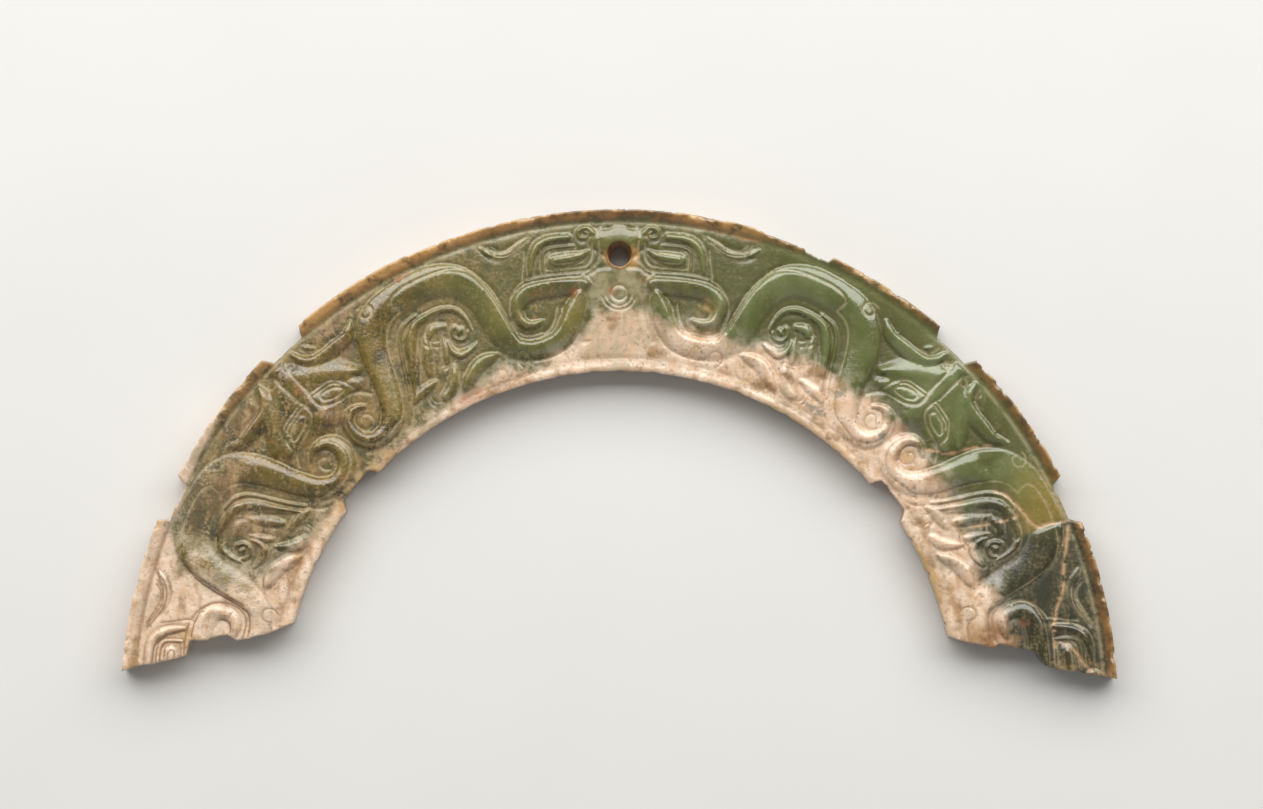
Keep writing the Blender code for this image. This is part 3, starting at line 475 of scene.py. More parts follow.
def colours(angle, share, polish, groove, crack, chip, pits):
    """The stains of the stone, with painted shade and painted highlight, as named amounts at each place."""
    along = np.radians(angle) * MIDDLE_RADIUS
    across = share * BAND_WIDTH
    lumps = rough_noise(along, across, 3.2, 31)
    chalk = cream(angle, share) + lumps * .9
    olive = np.interp(angle, (-90, -60, -45, -35, -25, -15, -8, 0, 8, 14, 20, 58, 66, 90),
                      (.9, 1, .95, .8, .5, .45, .5, .5, .4, .3, .1, .1, .4, .5))
    dark = np.interp(angle, (-90, 60, 66, 70, 90), (0, 0, .5, .9, 1))
    dark = np.maximum(dark, np.interp(-angle, (40, 48, 60, 67, 70), (0, .35, .45, .5, 0)))
    dark = np.maximum(dark, np.clip(2 * spot(angle, share, (64.5, .48), (5.5, .24)), 0, .8))
    yellow = np.minimum(1.3 * spot(angle, share, (65.5, .83), (8.5, .30)), (67.2 - angle) * 2)
    golden = np.interp(angle, (-60, -47, -44, -40, -25, -20, -8, 5, 10, 16, 20, 24, 42, 60, 82, 88),
                       (.3, .5, .7, .9, .9, .8, .2, .15, .7, .8, .3, .2, .1, .05, .1, .5))
    dusty = np.interp(angle, (-70, -60, -40, -20, -6, 6, 30, 58, 66, 70, 80, 88),
                      (1, 1, .9, .5, .5, .3, .1, .2, .35, .3, .4, 1))
    haze = np.interp(angle, (-80, -66, -52, -38, -20, -5), (.6, .6, 1, .9, .3, 0))
    # Brown stains of the stone, some of them painted shade in recesses of the cream
    stain_and_painted_shade = np.zeros(len(angle))
    for middle, size in (((6, .13), (3, .05)), ((31, .33), (2.4, .07)), ((53, .36), (2, .1)), ((58, .10), (3, .06)),
                         ((72, .09), (6, .05)), ((-80, .06), (5, .05)), ((-20, .05), (14, .06)), ((37, .06), (12, .05)),
                         ((66, .04), (9, .05)), ((25, .11), (4, .06)), ((-46, .05), (13, .12)), ((-66, .10), (6, .07)),
                         ((50.5, .26), (1.2, .06)), ((-1.5, .33), (1.2, .03)), ((27, .22), (2.4, .05)),
                         ((-84, .93), (3, .05)), ((62, .30), (3, .04))):
        stain_and_painted_shade = np.maximum(stain_and_painted_shade, spot(angle, share, middle, size))
    grey = np.zeros(len(angle))
    for middle, size in (((57.8, .36), (1.0, .06)), ((57.6, .27), (.5, .035)), ((43, .17), (.5, .025)), ((35, .3), (1.3, .06)),
                         ((55.8, .25), (.6, .03)), ((20, .32), (1, .05)), ((44, .26), (1, .04)), ((-68, .88), (2.2, .1)),
                         ((-72, .5), (3, .12)), ((33, .13), (4, .03))):
        grey = np.maximum(grey, spot(angle, share, middle, size))
    burnt = np.clip((angle - 75.5) / 2.5 - np.abs(share - .27) * 6, 0, 1)
    rust = np.zeros(len(angle))
    for middle, size in (((-10.5, .52), (2.2, .05)), ((-26, .05), (4, .05)),  ((-6.2, .50), (1.2, .05)), ((1.9, .71), (.9, .09)),
                         ((-.8, .50), (1.2, .05)),
                         ((45.4, .36), (1.6, .07)), ((80.5, .32), (2.2, .09)), ((-45, .70), (1.0, .05)),
                         ((78, .48), (1.2, .05)), ((-27, .90), (2, .03))):
        rust = np.maximum(rust, spot(angle, share, middle, size))
    bore = np.clip(spot(angle, share, (0, .715), (1.95, .092)) * 5, 0, 1)
    ochre = np.maximum(spot(angle, share, (1.8, .71), (1.1, .10)), .3 * spot(angle, share, (12.4, .46), (3, .12)))
    ochre = np.maximum(ochre, .3 * spot(angle, share, (-12, .44), (3, .12)))
    ochre = np.maximum(ochre, .5 * spot(angle, share, (-50, .03), (14, .17)))
    ochre = np.maximum(ochre, .7 * spot(angle, share, (67, .0), (13, .08)))
    ochre = np.maximum(ochre, .5 * spot(angle, share, (34, .0), (18, .07)))
    ochre = np.maximum(ochre, spot(angle, share, (-1.6, .70), (.7, .06)))
    # Darker spots: partly darker stone, partly painted shade, as on the jaw, beside the nose and under the left rim
    darker_stone_and_painted_shade = np.zeros(len(angle))
    for middle, size in (((8.5, .54), (7, .12)), ((45, .40), (4, .22)), ((57, .42), (3, .1)), ((-8, .55), (6, .1)),
                         ((16, .45), (2.5, .15)), ((-15, .30), (5, .1)), ((70, .60), (5, .3)), ((79, .60), (4, .25)),
                         ((-65, .80), (5, .18)), ((-52.5, .89), (4.5, .12)), ((-38, .89), (7, .09)),
                         ((-44, .62), (3, .14)), ((-62, .45), (4, .14))):
        darker_stone_and_painted_shade = np.maximum(darker_stone_and_painted_shade, spot(angle, share, middle, size))
    ragged = .016 * rough_noise(along, across, 1.3, 77) + .008 * rough_noise(along, across, .5, 79)
    golden *= .45 + .55 * ease((share + ragged - .95) / .02)
    brown = ease((share + ragged - np.interp(angle, (-20, -8, 6, 10, 15, 18, 24, 40, 44),
                                      (.925, .938, .935, .915, .90, .93, .955, .955, .938))) / .012)
    brown *= np.interp(angle, (-62, -50, -40, 0, 12, 18, 26, 40, 60, 88), (0, .6, 1, 1, .9, .6, .6, .7, .8, .9))
    dirt = np.zeros(len(angle))
    for middle, size in (((86, .70), (3, .30)), ((80.5, .40), (2.5, .10)), ((86.5, .92), (3, .1)),
                         ((-60, .70), (8, .2)), ((-52, .82), (5, .12)), ((-36, .88), (6, .07)), ((-44, .45), (4, .2)),
                         ((-64, .45), (4, .3)), ((-38, .70), (3, .15)), ((3.2, .58), (1.5, .08))):
        dirt = np.maximum(dirt, spot(angle, share, middle, size))
    dull = np.clip(spot(angle, share, (0, .27), (10, .22)) * 2, 0, 1)
    middle_grey = np.clip(spot(angle, share, (-.5, .50), (7, .24)) * 1.8, 0, .85)
    # The very edges of both rims, lighter: partly worn stone, partly a painted highlight along their rounded crests
    edge = ease((share - .975) / .02) + ease((.018 - share) / .012)
    return {"edge": edge, "bore": bore, "dull": dull, "dirt": dirt, "darker_stone_and_painted_shade": darker_stone_and_painted_shade, "ochre": ochre, "golden": golden, "dusty": dusty, "haze": haze, "burnt": burnt, "grey": grey, "stain_and_painted_shade": stain_and_painted_shade, "chalk": chalk, "olive": olive, "dark": dark, "yellow": yellow, "rust": rust, "brown": brown,
            "bleached": middle_grey, "polish": polish, "groove": groove, "crack": crack, "chip": chip, "pit": pits}


def rim(radius, first, last, wear):
    """Points of a rim from one angle to another, off its true radius by its wear."""
    corners = [first] + [angle for angle, _ in wear if first < angle < last] + [last]
    angles = []
    for start, end in zip(corners, corners[1:]):
        count = max(2, round(math.radians(end - start) * radius / EDGE_SPACING))
        angles += [start + (end - start) * step / count for step in range(count)]
    angles = np.array(angles + [last])
    radii = radius + np.interp(angles, *zip(*wear))
    return np.stack([radii * np.sin(np.radians(angles)), radii * np.cos(np.radians(angles))], -1)


def worn_end(outer_corner, inner_corner, line):
    """Points between the corners of an end, which the stone lies above in +Y."""
    along = inner_corner - outer_corner
    length = np.hypot(*along)
    inwards = np.array((-along[1], along[0])) / length
    if inwards[1] < 0:
        inwards = -inwards
    shares, cuts = zip(*line)
    at = []
    for start, end in zip(shares, shares[1:]):
        count = max(2, round((end - start) * length / EDGE_SPACING))
        at += [start + (end - start) * step / count for step in range(count)]
    at = np.array(at[1:])
    cuts = np.interp(at, shares, cuts) + .07 * rough_noise(at * length, at * 0, 1.1, 5) * np.sin(at * math.pi)
    return outer_corner + along * at[:, None] + inwards * cuts[:, None]


def outline():
    """The plaque's outline, clockwise from its left end's outer corner."""
    outer = rim(OUTER_RADIUS, LEFT_END[0], RIGHT_END[0], OUTER_WEAR)
    inner = rim(INNER_RADIUS, LEFT_END[1], RIGHT_END[1], INNER_WEAR)[::-1]
    right = worn_end(outer[-1], inner[0], RIGHT_WORN)
    left = worn_end(outer[0], inner[-1], LEFT_WORN)[::-1]
    corners = np.array([outer[0], outer[-1], inner[0], inner[-1]])
    loop = np.vstack([outer, right, inner, left])
    gap = np.hypot(*(loop[:, None] - corners).transpose(2, 0, 1)).min(1)
    loop = loop[(gap == 0) | (gap > CORNER_GAP)]
    wear = .05 * (1 + rough_noise(loop[:, 0], loop[:, 1], 1.3, 41))
    ragged = np.interp(loop[:, 0], (-50, -20, 15, 40), (.14, .1, .14, .26))
    wear += ragged * ease((rough_noise(loop[:, 0], loop[:, 1], 1.0, 43) - .1) / .4)
    wear[[np.argmin(loop[:, 0]), np.argmax(loop[:, 0]), np.argmax(loop[:, 1])]] = 0
    return inset(loop, wear[:, None])


def inset(loop, distance):
    """A clockwise loop moved inwards by a distance."""
    before = loop - np.roll(loop, 1, axis=0)
    after = np.roll(before, -1, axis=0)
    normals = [np.stack([edge[:, 1], -edge[:, 0]], -1) / np.hypot(edge[:, 0], edge[:, 1])[:, None]
               for edge in (before, after)]
    middle = normals[0] + normals[1]
    middle /= np.hypot(middle[:, 0], middle[:, 1])[:, None]
    stretch = 1 / np.maximum((middle * normals[0]).sum(1), 0.5)
    hollow = before[:, 0] * after[:, 1] - before[:, 1] * after[:, 0] > 0
    return loop + middle * np.where(hollow, 1, stretch)[:, None] * distance


def circle(centre, radius):
    """A ring of points about a centre."""
    turns = 2 * math.pi * np.arange(HOLE_SIDES) / HOLE_SIDES
    return np.array(centre) + radius * np.stack([np.cos(turns), np.sin(turns)], -1)


def inside(loop, places):
    """Which places lie inside a loop."""
    order = np.argsort(places[:, 1])
    x, y = places[order].T
    result = np.zeros(len(places), bool)
    for (x1, y1), (x2, y2) in zip(loop, np.roll(loop, -1, axis=0)):
        if y1 == y2:
            continue
        low, high = np.searchsorted(y, (min(y1, y2), max(y1, y2)))
        run = slice(low, high)
        result[run] ^= x[run] < (x2 - x1) * (y[run] - y1) / (y2 - y1) + x1
    answer = np.zeros(len(places), bool)
    answer[order] = result
    return answer


def cells(places, gap, shift=0):
    """A whole number for the square of a grid that each place falls in."""
    column, row = np.floor(places / gap + shift).astype(np.int64).T
    return column * 100000 + row


def thinned(places, gap):
    """The places without those that share a square with an earlier one."""
    for size, shift in ((gap, 0), (gap * .8, .5)):
        _, first = np.unique(cells(places, size, shift), return_index=True)
        places = places[np.sort(first)]
    return places


def clear_of(places, taken, gap):
    """The places whose square and its neighbours hold none of the places taken."""
    full = cells(taken, gap)
    around = np.concatenate([full + i * 100000 + j for i in (-1, 0, 1) for j in (-1, 0, 1)])
    return places[~np.isin(cells(places, gap), around)]


def repeats(line):
    """A line of the half mask, given on the unrolled band, at each place where the pattern repeats it."""
    angle, share = line[:, 0] / DEGREE, line[:, 1] / BAND_WIDTH
    places = []
    for repeat in (angle, 2 * FOLD_ANGLE - angle):
        places.append(on_band(repeat, share))
        left = repeat + np.interp(repeat, *zip(*LEFT_DRIFT))
        left = repeat + np.interp(left, *zip(*LEFT_DRIFT))
        places.append(on_band(-left, share))
    return np.vstack(places)


def stroke_rows():
    """Points in rows along the crests, flanks and feet of the strokes and along the furrows."""
    main, others = [], []
    for _, _, points in strokes():
        curve = smooth_curve(points, ROW_SPACING)
        direction = np.gradient(curve[:, :2], axis=0)
        normal = np.stack([-direction[:, 1], direction[:, 0]], -1) / np.hypot(*direction.T)[:, None]
        width, lean = curve[:, 2:3] * STROKE_UNIT, curve[:, 3:4]
        for rows, offset in ((main, lean * width), (main, width), (main, -width), (others, width + .25),
                             (others, -width - .25), (others, width * (1 + lean) / 2),
                             (others, width * (lean - 1) / 2),
                             (others, width * (1 - STEP_SHARE * (1 - lean))),
                             (others, -width * (1 - STEP_SHARE * (1 + lean)))):
            rows.append(repeats(curve[:, :2] + normal * offset))
    for _, half_width, points in furrows():
        curve = smooth_curve([p[:2] for p in points], ROW_SPACING)
        direction = np.gradient(curve, axis=0)
        normal = np.stack([-direction[:, 1], direction[:, 0]], -1) / np.hypot(*direction.T)[:, None]
        for rows, offset in ((main, 0), (main, .8), (main, -.8), (others, 1.7), (others, -1.7)):
            rows.append(repeats(curve + normal * offset * half_width * STROKE_UNIT))
    for _, _, points in CRACKS:
        curve = smooth_curve(points, ROW_SPACING)
        main.append(on_band(curve[:, 0] / DEGREE, curve[:, 1] / BAND_WIDTH))
    for share in (.02, .032, .055, .078, .088, .1, .9, .912, .92, .93, .94, .965):
        count = round((INNER_RADIUS + share * BAND_WIDTH) * math.pi / EDGE_SPACING)
        main.append(on_band(np.linspace(-90, 90, count), np.full(count, share)))
    return np.vstack(main + others)


def hex_grid(spacing):
    """A grid of staggered rows over the plaque."""
    step = spacing * math.sqrt(3) / 2
    columns = np.arange(-OUTER_RADIUS, OUTER_RADIUS, spacing)
    rows = np.arange(0, OUTER_RADIUS, step)
    x, y = np.meshgrid(columns, rows)
    x = x + (np.arange(len(rows)) % 2)[:, None] * spacing / 2
    return np.stack([x.ravel(), y.ravel()], -1)


def triangles(loops, places):
    """Triangles inside the first loop and outside the others, with corners at all the places given."""
    points = np.vstack(loops + [places])
    edges = []
    start = 0
    for loop in loops:
        count = len(loop)
        edges += [(start + i, start + (i + 1) % count) for i in range(count)]
        start += count
    _, _, faces, origins, _, _ = delaunay_2d_cdt(points.tolist(), edges, [], 1, 1e-5, True)
    origin = np.array([source[0] for source in origins])
    faces = origin[np.array(faces)]
    middles = points[faces].mean(1)
    keep = inside(loops[0], middles)
    for loop in loops[1:]:
        keep &= ~inside(loop, middles)
    faces = faces[keep]
    sides = points[faces]
    one, two = sides[:, 1] - sides[:, 0], sides[:, 2] - sides[:, 0]
    turn = one[:, 0] * two[:, 1] - one[:, 1] * two[:, 0]
    faces[turn < 0] = faces[turn < 0][:, ::-1]
    return points, faces


def stone_mesh():
    """The whole plaque as one closed mesh, with the stains of the stone and the painted shade and highlight as
    attributes.
    """
    edge = outline()
    hole_y = INNER_RADIUS + HOLE_SHARE * BAND_WIDTH
    front_edge = inset(edge, EDGE_ROUNDING)
    mouth = circle((0, hole_y), HOLE_MOUTH_RADIUS + .12)
    room = inset(edge, EDGE_ROUNDING + .1)
    rows = thinned(stroke_rows(), CLOSEST)
    rows = rows[inside(room, rows)]
    grid = hex_grid(GRID_SPACING)
    grid = clear_of(grid[inside(room, grid)], rows, CLOSEST)
    places = np.vstack([rows, grid])
    places = places[np.hypot(places[:, 0], places[:, 1] - hole_y) > HOLE_MOUTH_RADIUS + .22]
    corners, faces = triangles([front_edge, mouth], places)
    angle, share = to_band(corners)
    heights, polish, groove, crack, chip, pits = front(angle, share)
    vertices = [np.column_stack([corners, heights])]
    parts = [faces]
    total = len(corners)
    count = len(edge)

    def ring(places, height):
        nonlocal total
        vertices.append(np.column_stack([places, np.broadcast_to(height, len(places))]))
        total += len(places)
        return np.arange(total - len(places), total)

    def join(upper, lower):
        next_upper, next_lower = np.roll(upper, -1), np.roll(lower, -1)
        parts.append(np.column_stack([upper, next_upper, lower]))
        parts.append(np.column_stack([next_upper, next_lower, lower]))

    top = heights[:count]
    rough = .08 * (1 + rough_noise(edge[:, 0], edge[:, 1], .9, 51))
    wall = [(inset(edge, .06), top - .06), (edge, top - EDGE_ROUNDING), (inset(edge, rough[:, None]), top * .62),
            (inset(edge, rough[::-1, None] * .7), top * .3), (edge, .25), (inset(edge, .06), .07),
            (front_edge, 0)]
    upper = np.arange(count)
    for places, height in wall:
        lower = ring(places, height)
        join(upper, lower)
        upper = lower
    edge_back = upper
    neck = heights[count:count + HOLE_SIDES].mean()
    upper = np.arange(count, count + HOLE_SIDES)
    for radius, lean, height in ((HOLE_MOUTH_RADIUS, 0, neck - .1),
                                 ((HOLE_MOUTH_RADIUS + HOLE_BORE_RADIUS) / 2, HOLE_LEAN / 2, neck - 1.1),
                                 (HOLE_BORE_RADIUS, HOLE_LEAN, neck - HOLE_CONE_DEPTH),
                                 (HOLE_BORE_RADIUS, HOLE_LEAN, .3), (HOLE_BORE_RADIUS + .15, HOLE_LEAN, 0)):
        lower = ring(circle((0, hole_y - lean), radius), height)
        join(upper, lower)
        upper = lower
    back_hole = circle((0, hole_y - HOLE_LEAN), HOLE_BORE_RADIUS + .15)
    grid = hex_grid(2.0)
    grid = grid[inside(inset(edge, .8), grid)]
    grid = grid[np.hypot(grid[:, 0], grid[:, 1] - hole_y) > HOLE_MOUTH_RADIUS + .8]
    _, back = triangles([front_edge, back_hole], grid)
    inner_back = ring(grid, 0)
    parts.append(np.concatenate([edge_back, upper, inner_back])[back][:, ::-1])

    vertices = np.vstack(vertices)
    added = len(vertices) - len(corners)
    angle, share = to_band(vertices[:, :2])
    fields = [np.concatenate([field, np.full(added, level)])
              for field, level in ((polish, .3), (groove, 0), (crack, 0), (chip, 0), (pits, 0))]
    stains = colours(angle, np.clip(share, 0, 1), *fields)
    wall = len(corners) + count
    for name, left in (("edge", .3), ("golden", .5)):
        stains[name][wall:] *= left
    return vertices, np.vstack(parts), stains


def linear(red, green, blue):
    """A colour seen as 0 to 255 values, as the shader's linear values."""
    def straight(value):
        value /= 255
        return value / 12.92 if value <= .04045 else ((value + .055) / 1.055) ** 2.4
    return straight(red), straight(green), straight(blue), 1


class Shader:
    """Short calls for building a node material."""

    def __init__(self, name):
        self.material = bpy.data.materials.new(name)
        self.material.use_nodes = True
        self.tree = self.material.node_tree
        self.principled = self.tree.nodes["Principled BSDF"]

    def node(self, kind, **settings):
        made = self.tree.nodes.new(kind)
        for key, value in settings.items():
            setattr(made, key, value)
        return made

    def put(self, value, socket):
        if isinstance(value, bpy.types.NodeSocket):
            self.tree.links.new(value, socket)
        else:
            socket.default_value = value

    def amount(self, name):
        return self.node("ShaderNodeAttribute", attribute_name=name).outputs["Fac"]

    def math(self, operation, first, second=0.0, third=0.0):
        made = self.node("ShaderNodeMath", operation=operation)
        for value, socket in zip((first, second, third), made.inputs):
            self.put(value, socket)
        return made.outputs[0]

    def noise(self, scale, detail=4.0, roughness=.55, stretch=None):
        made = self.node("ShaderNodeTexNoise")
        made.inputs["Scale"].default_value = scale
        made.inputs["Detail"].default_value = detail
        made.inputs["Roughness"].default_value = roughness
        where = self.node("ShaderNodeTexCoord").outputs["Object"]
        if stretch:
            mapping = self.node("ShaderNodeMapping")
            mapping.inputs["Scale"].default_value = stretch
            self.put(where, mapping.inputs["Vector"])
            where = mapping.outputs["Vector"]
        self.put(where, made.inputs["Vector"])
        return made.outputs["Fac"]

    def mix(self, factor, first, second):
        made = self.node("ShaderNodeMix", data_type="RGBA", clamp_factor=True)
        self.put(factor, made.inputs["Factor"])
        self.put(first, made.inputs[6])
        self.put(second, made.inputs[7])
        return made.outputs[2]

    def step(self, value, low, high):
        """0 where a value is under low, 1 over high, smooth between."""
        made = self.node("ShaderNodeMapRange", interpolation_type="SMOOTHSTEP")
        self.put(value, made.inputs["Value"])
        made.inputs["From Min"].default_value = low
        made.inputs["From Max"].default_value = high
        return made.outputs["Result"]

    def broken(self, value, noise, reach, low=-.2, high=.2):
        """A soft-edged area whose edge is broken up by noise."""
        shift = self.math("MULTIPLY_ADD", noise, 2 * reach, -reach)
        return self.step(self.math("ADD", value, shift), low, high)


def nephrite():
    """Polished nephrite: green to olive stone, cream where altered, brown rims and dust in the grooves, with painted
    shade in the sunk field and hollows and a painted highlight on the rim edges.
    """
    s = Shader("nephrite")
    cloud = s.noise(170, 3)
    mottle = s.noise(650, 5, .6)
    grain = s.noise(2600, 4, .6)
    fibre = s.noise(900, 4, .6, (1, .35, 1))

    green = s.mix(s.step(cloud, .35, .65), linear(88, 94, 46), linear(108, 115, 70))
    olive = s.mix(s.step(cloud, .35, .65), linear(96, 84, 24), linear(118, 104, 42))
    body = s.mix(s.broken(s.amount("olive"), cloud, .25, .25, .75), green, olive)
    darker_stone_and_painted_shade = s.step(s.amount("darker_stone_and_painted_shade"), 0, .7)
    # The sunk field is a darker olive than the raised strokes: partly its own duller stone, partly painted shade in the
    # ground and painted sheen on the polished strokes; tan with dust where hazy
    field = s.math("SUBTRACT", 1.0, s.amount("polish"))
    sunk_shade_and_dust = s.mix(s.math("MULTIPLY", s.amount("haze"), s.step(mottle, .3, .6)), linear(76, 74, 28),
                 linear(134, 108, 52))
    body = s.mix(s.math("MULTIPLY", field, .8), body, sunk_shade_and_dust)
    body = s.mix(s.math("MULTIPLY", s.amount("bleached"), s.step(mottle, .25, .55)), body, s.mix(s.step(mottle, .4, .65), linear(126, 116, 78), linear(150, 140, 104)))
    blotches = s.step(s.noise(260, 6, .7), .47, .6)
    body = s.mix(s.math("MULTIPLY", s.math("MULTIPLY", blotches, s.amount("haze")), .85), body,
                 s.mix(s.step(mottle, .4, .6), linear(44, 38, 14), linear(84, 68, 24)))
    # Darker spots, partly darker stone and partly painted shade in hollows, turn a dark olive
    darker_stone_and_painted_shade = s.math("MULTIPLY", darker_stone_and_painted_shade, s.step(mottle, .25, .6))
    body = s.mix(s.math("MULTIPLY", darker_stone_and_painted_shade, .62), body, linear(62, 58, 26))
    dark = s.broken(s.amount("dark"), cloud, .2, .2, .9)
    body = s.mix(s.math("MULTIPLY", dark, .85), body, s.mix(s.step(fibre, .4, .6), linear(30, 31, 15), linear(54, 50, 26)))
    yellow = s.math("MULTIPLY", s.step(s.amount("yellow"), 0, 1), .6)
    body = s.mix(yellow, body, s.mix(s.step(mottle, .4, .6), linear(134, 114, 42), linear(154, 124, 50)))
    specks = s.math("MULTIPLY", s.amount("dusty"), s.step(grain, .47, .63))
    specks = s.math("MULTIPLY", specks, s.step(fibre, .40, .60))
    body = s.mix(s.math("MULTIPLY", specks, .8), body, linear(168, 144, 104))
    tint = s.math("MULTIPLY", s.amount("haze"), s.step(mottle, .35, .65))
    body = s.mix(s.math("MULTIPLY", tint, .4), body, linear(144, 110, 54))
    brown = s.mix(s.step(mottle, .38, .62), linear(80, 52, 16), linear(124, 86, 34))
    brown = s.mix(s.math("MULTIPLY", s.amount("golden"), s.step(mottle, .26, .5)), brown, linear(190, 144, 80))
    body = s.mix(s.math("MULTIPLY", s.amount("brown"), s.step(mottle, .0, .4)), body, brown)
    # Rim edges turn lighter tan: partly wear, partly a painted highlight
    worn_edge_and_highlight = s.math("MULTIPLY", s.amount("edge"), s.step(mottle, .42, .58))
    body = s.mix(s.math("MULTIPLY", worn_edge_and_highlight, .7), body, linear(184, 146, 90))
    dust = s.math("MULTIPLY", s.amount("groove"), s.step(mottle, .3, .55))
    body = s.mix(s.math("MULTIPLY", dust, .65), body, linear(166, 152, 112))
    frost = s.math("MULTIPLY", s.step(s.amount("chalk"), -1.8, -.5), s.step(mottle, .4, .6))
    body = s.mix(s.math("MULTIPLY", frost, .4), body, linear(172, 166, 142))

    pink = s.mix(s.step(mottle, .3, .7), linear(206, 171, 136), linear(234, 209, 184))
    pink = s.mix(s.math("MULTIPLY", s.step(s.noise(330, 4), .5, .66), .6), pink, linear(196, 176, 148))
    pink = s.mix(s.math("MULTIPLY", s.step(s.noise(240, 5), .54, .7), .7), pink, linear(188, 146, 92))
    chalk_stone = s.mix(s.math("MULTIPLY", s.step(fibre, .52, .72), .7), pink, linear(172, 136, 96))
    chalk_stone = s.mix(s.math("MULTIPLY", s.step(grain, .56, .68), .38), chalk_stone, linear(132, 100, 66))
    stains = s.step(s.noise(520, 5, .65), .56, .68)
    chalk_stone = s.mix(s.math("MULTIPLY", stains, .55), chalk_stone, linear(140, 112, 78))
    in_groove = s.math("MULTIPLY", s.amount("groove"), s.math("MULTIPLY_ADD", s.amount("dusty"), .5, .42))
    chalk_stone = s.mix(in_groove, chalk_stone, linear(138, 102, 66))
    chalk_stone = s.mix(s.math("MULTIPLY", s.step(cloud, .48, .66), .6), chalk_stone, linear(170, 150, 120))
    dull = s.math("MULTIPLY", s.amount("dull"), s.step(mottle, .25, .6))
    chalk_stone = s.mix(s.math("MULTIPLY", dull, .6), chalk_stone, linear(160, 138, 102))
    chalk_stone = s.mix(s.math("MULTIPLY", s.amount("burnt"), s.step(mottle, .2, .6)), chalk_stone,
                        linear(140, 98, 54))
    grey = s.broken(s.amount("grey"), s.noise(1300, 5, .7), 1.4, .1, .8)
    chalk_stone = s.mix(s.math("MULTIPLY", grey, .7), chalk_stone, linear(104, 106, 92))
    # Brown stains, partly painted shade in recesses of the cream
    stain_and_painted_shade = s.broken(s.amount("stain_and_painted_shade"), s.noise(500, 5, .7), 1.6, .1, .9)
    chalk_stone = s.mix(s.math("MULTIPLY", stain_and_painted_shade, .85), chalk_stone,
                        s.mix(s.step(mottle, .4, .6), linear(122, 92, 54), linear(168, 126, 74)))
    chalk = s.broken(s.amount("chalk"), mottle, .9, -.7, .9)
    body = s.mix(chalk, body, chalk_stone)
    body = s.mix(s.math("MULTIPLY", s.amount("pit"), .55), body, linear(140, 104, 66))
    body = s.mix(s.math("MULTIPLY", s.amount("chip"), s.step(mottle, .3, .6)), body, linear(178, 140, 82))
    rust = s.math("MULTIPLY", s.step(s.amount("rust"), 0, .8), s.step(mottle, .35, .65))
    body = s.mix(s.math("MULTIPLY", rust, .75), body, linear(150, 84, 40))
    body = s.mix(s.math("MULTIPLY", s.amount("crack"), s.step(mottle, .36, .5)), body, linear(184, 148, 106))
    body = s.mix(s.math("MULTIPLY", s.step(grain, .62, .75), .35), body, linear(60, 48, 28))

    dirt = s.broken(s.amount("dirt"), s.noise(800, 6, .75), 1.5, .3, .8)
    body = s.mix(s.math("MULTIPLY", dirt, .7), body,
                 s.mix(s.step(fibre, .35, .65), linear(104, 78, 44), linear(166, 134, 92)))
    ochre = s.broken(s.amount("ochre"), mottle, .6, .1, .6)
    body = s.mix(s.math("MULTIPLY", ochre, .8), body, linear(180, 142, 84))
    body = s.mix(s.amount("bore"), body, s.mix(s.step(mottle, .4, .6), linear(112, 74, 26), linear(160, 118, 56)))

    s.put(body, s.principled.inputs["Base Color"])
    rough = s.math("MULTIPLY_ADD", s.amount("polish"), -.14, .34)
    matt = s.math("MULTIPLY_ADD", s.amount("dusty"), .12, .03)
    rough = s.math("ADD", rough, s.math("MULTIPLY", chalk, matt))
    rough = s.math("ADD", rough, s.math("MULTIPLY", s.amount("groove"), .2))
    rough = s.math("ADD", rough, s.math("MULTIPLY", s.math("MULTIPLY", s.amount("haze"), field), .25))
    rough = s.math("ADD", rough, s.math("MULTIPLY", s.math("ADD", dark, s.amount("haze")), .07))
    rough = s.math("ADD", rough, s.math("MULTIPLY_ADD", mottle, .16, -.08))
    s.put(rough, s.principled.inputs["Roughness"])
    s.principled.inputs["IOR"].default_value = 1.62
    s.principled.inputs["Coat Weight"].default_value = .6
    s.principled.inputs["Coat Roughness"].default_value = .16
    s.principled.inputs["Subsurface Weight"].default_value = .12
    s.principled.inputs["Subsurface Radius"].default_value = (1.0, .9, .5)
    s.principled.inputs["Subsurface Scale"].default_value = .0008

    bump = s.node("ShaderNodeBump")
    bump.inputs["Strength"].default_value = .75
    bump.inputs["Distance"].default_value = .0001
    height = s.math("ADD", s.math("MULTIPLY", grain, .45), s.math("MULTIPLY", mottle, .8))
    height = s.math("ADD", height, s.math("MULTIPLY", s.math("MULTIPLY", grain, s.amount("haze")), .9))
    s.put(height, bump.inputs["Height"])
    s.put(bump.outputs["Normal"], s.principled.inputs["Normal"])
    return s.material


def add_mesh(name, vertices, faces, material):
    mesh = bpy.data.meshes.new(name)
    mesh.from_pydata(vertices.tolist(), [], faces.tolist())
    mesh.materials.append(material)
    made = bpy.data.objects.new(name, mesh)
    bpy.context.scene.collection.objects.link(made)
    return made


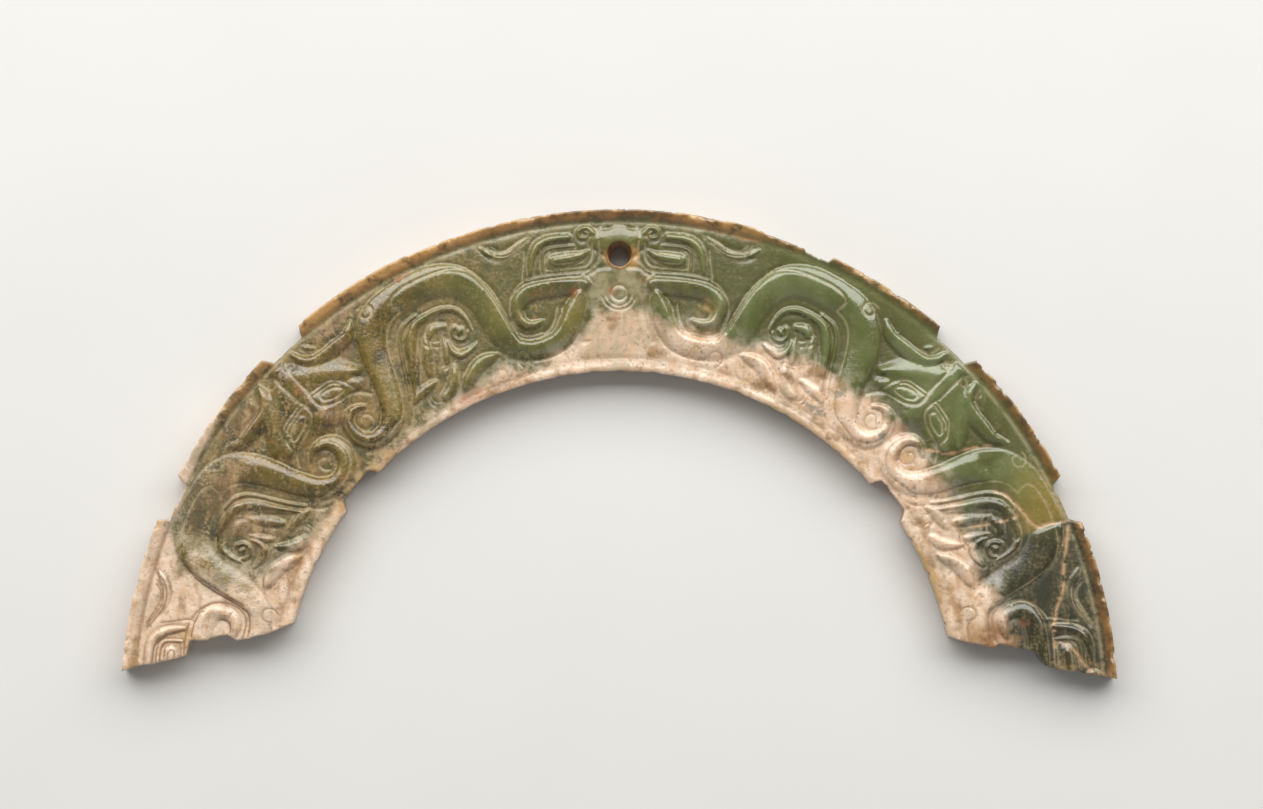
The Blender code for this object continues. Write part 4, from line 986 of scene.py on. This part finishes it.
def pendant():
    """The carved stone, in the place and at the size of the CAD solid."""
    vertices, faces, stains = stone_mesh()
    span = math.sin(math.radians(RIGHT_END[0])) - math.sin(math.radians(LEFT_END[0]))
    scale = (box_high[0] - box_low[0]) / (OUTER_RADIUS * span)
    centre_x = box_low[0] - OUTER_RADIUS * math.sin(math.radians(LEFT_END[0])) * scale
    centre_y = box_high[1] - OUTER_RADIUS * scale
    upright = (box_high[2] - box_low[2]) / THICKNESS
    vertices[:, 2] = np.minimum(vertices[:, 2], THICKNESS)
    vertices = vertices * (scale, scale, upright) + (centre_x, centre_y, box_low[2])
    made = add_mesh("carved_nephrite", vertices, faces, nephrite())
    for name, values in stains.items():
        layer = made.data.attributes.new(name, "FLOAT", "POINT")
        layer.data.foreach_set("value", values.astype(np.float32))
    made.data.shade_smooth()
    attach(made, "root")
    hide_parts("arc_pendant")
    return made


def floor():
    """A plain pale floor under the pendant."""
    s = Shader("pale_floor")
    colour = s.mix(s.noise(40, 2), linear(212, 210, 205), linear(216, 214, 210))
    s.put(colour, s.principled.inputs["Base Color"])
    s.principled.inputs["Roughness"].default_value = .8
    half, level = 1.5, box_low[2] - .0001
    corners = np.array([(-half, -half, level), (half, -half, level), (half, half, level), (-half, half, level)])
    made = add_mesh("floor", corners, np.array([(0, 1, 2, 3)]), s.material)


def soft_box(name, place, aim, size, power, colour=(1, 1, 1)):
    """An area light that faces a point."""
    light = bpy.data.lights.new(name, "AREA")
    light.shape = "RECTANGLE"
    light.size, light.size_y = size
    light.energy = power
    light.color = colour
    made = bpy.data.objects.new(name, light)
    made.location = place
    direction = made.location - type(made.location)(aim)
    made.rotation_euler = direction.to_track_quat("Z", "Y").to_euler()
    bpy.context.scene.collection.objects.link(made)


def lights():
    soft_box("key", (0, .40, .38), (0, 0, 0), (1.3, .50), 8.4)
    soft_box("low_fill", (0, -.6, .45), (0, 0, 0), (1.2, .4), .4)
    world = bpy.data.worlds.new("studio")
    world.use_nodes = True
    world.node_tree.nodes["Background"].inputs["Color"].default_value = (1, 1, 1, 1)
    world.node_tree.nodes["Background"].inputs["Strength"].default_value = .22
    bpy.context.scene.world = world
    bpy.context.scene.view_settings.view_transform = "Standard"


def camera():
    """Straight above, framed as the photograph is, with a long lens."""
    data = bpy.data.cameras.new("camera")
    data.sensor_width = 36
    data.lens = 120
    frame_width = .1517
    made = bpy.data.objects.new("camera", data)
    made.location = (.00144, .00474, box_high[2] + frame_width * data.lens / data.sensor_width)
    bpy.context.scene.collection.objects.link(made)
    bpy.context.scene.camera = made


pendant()
floor()
lights()
camera()
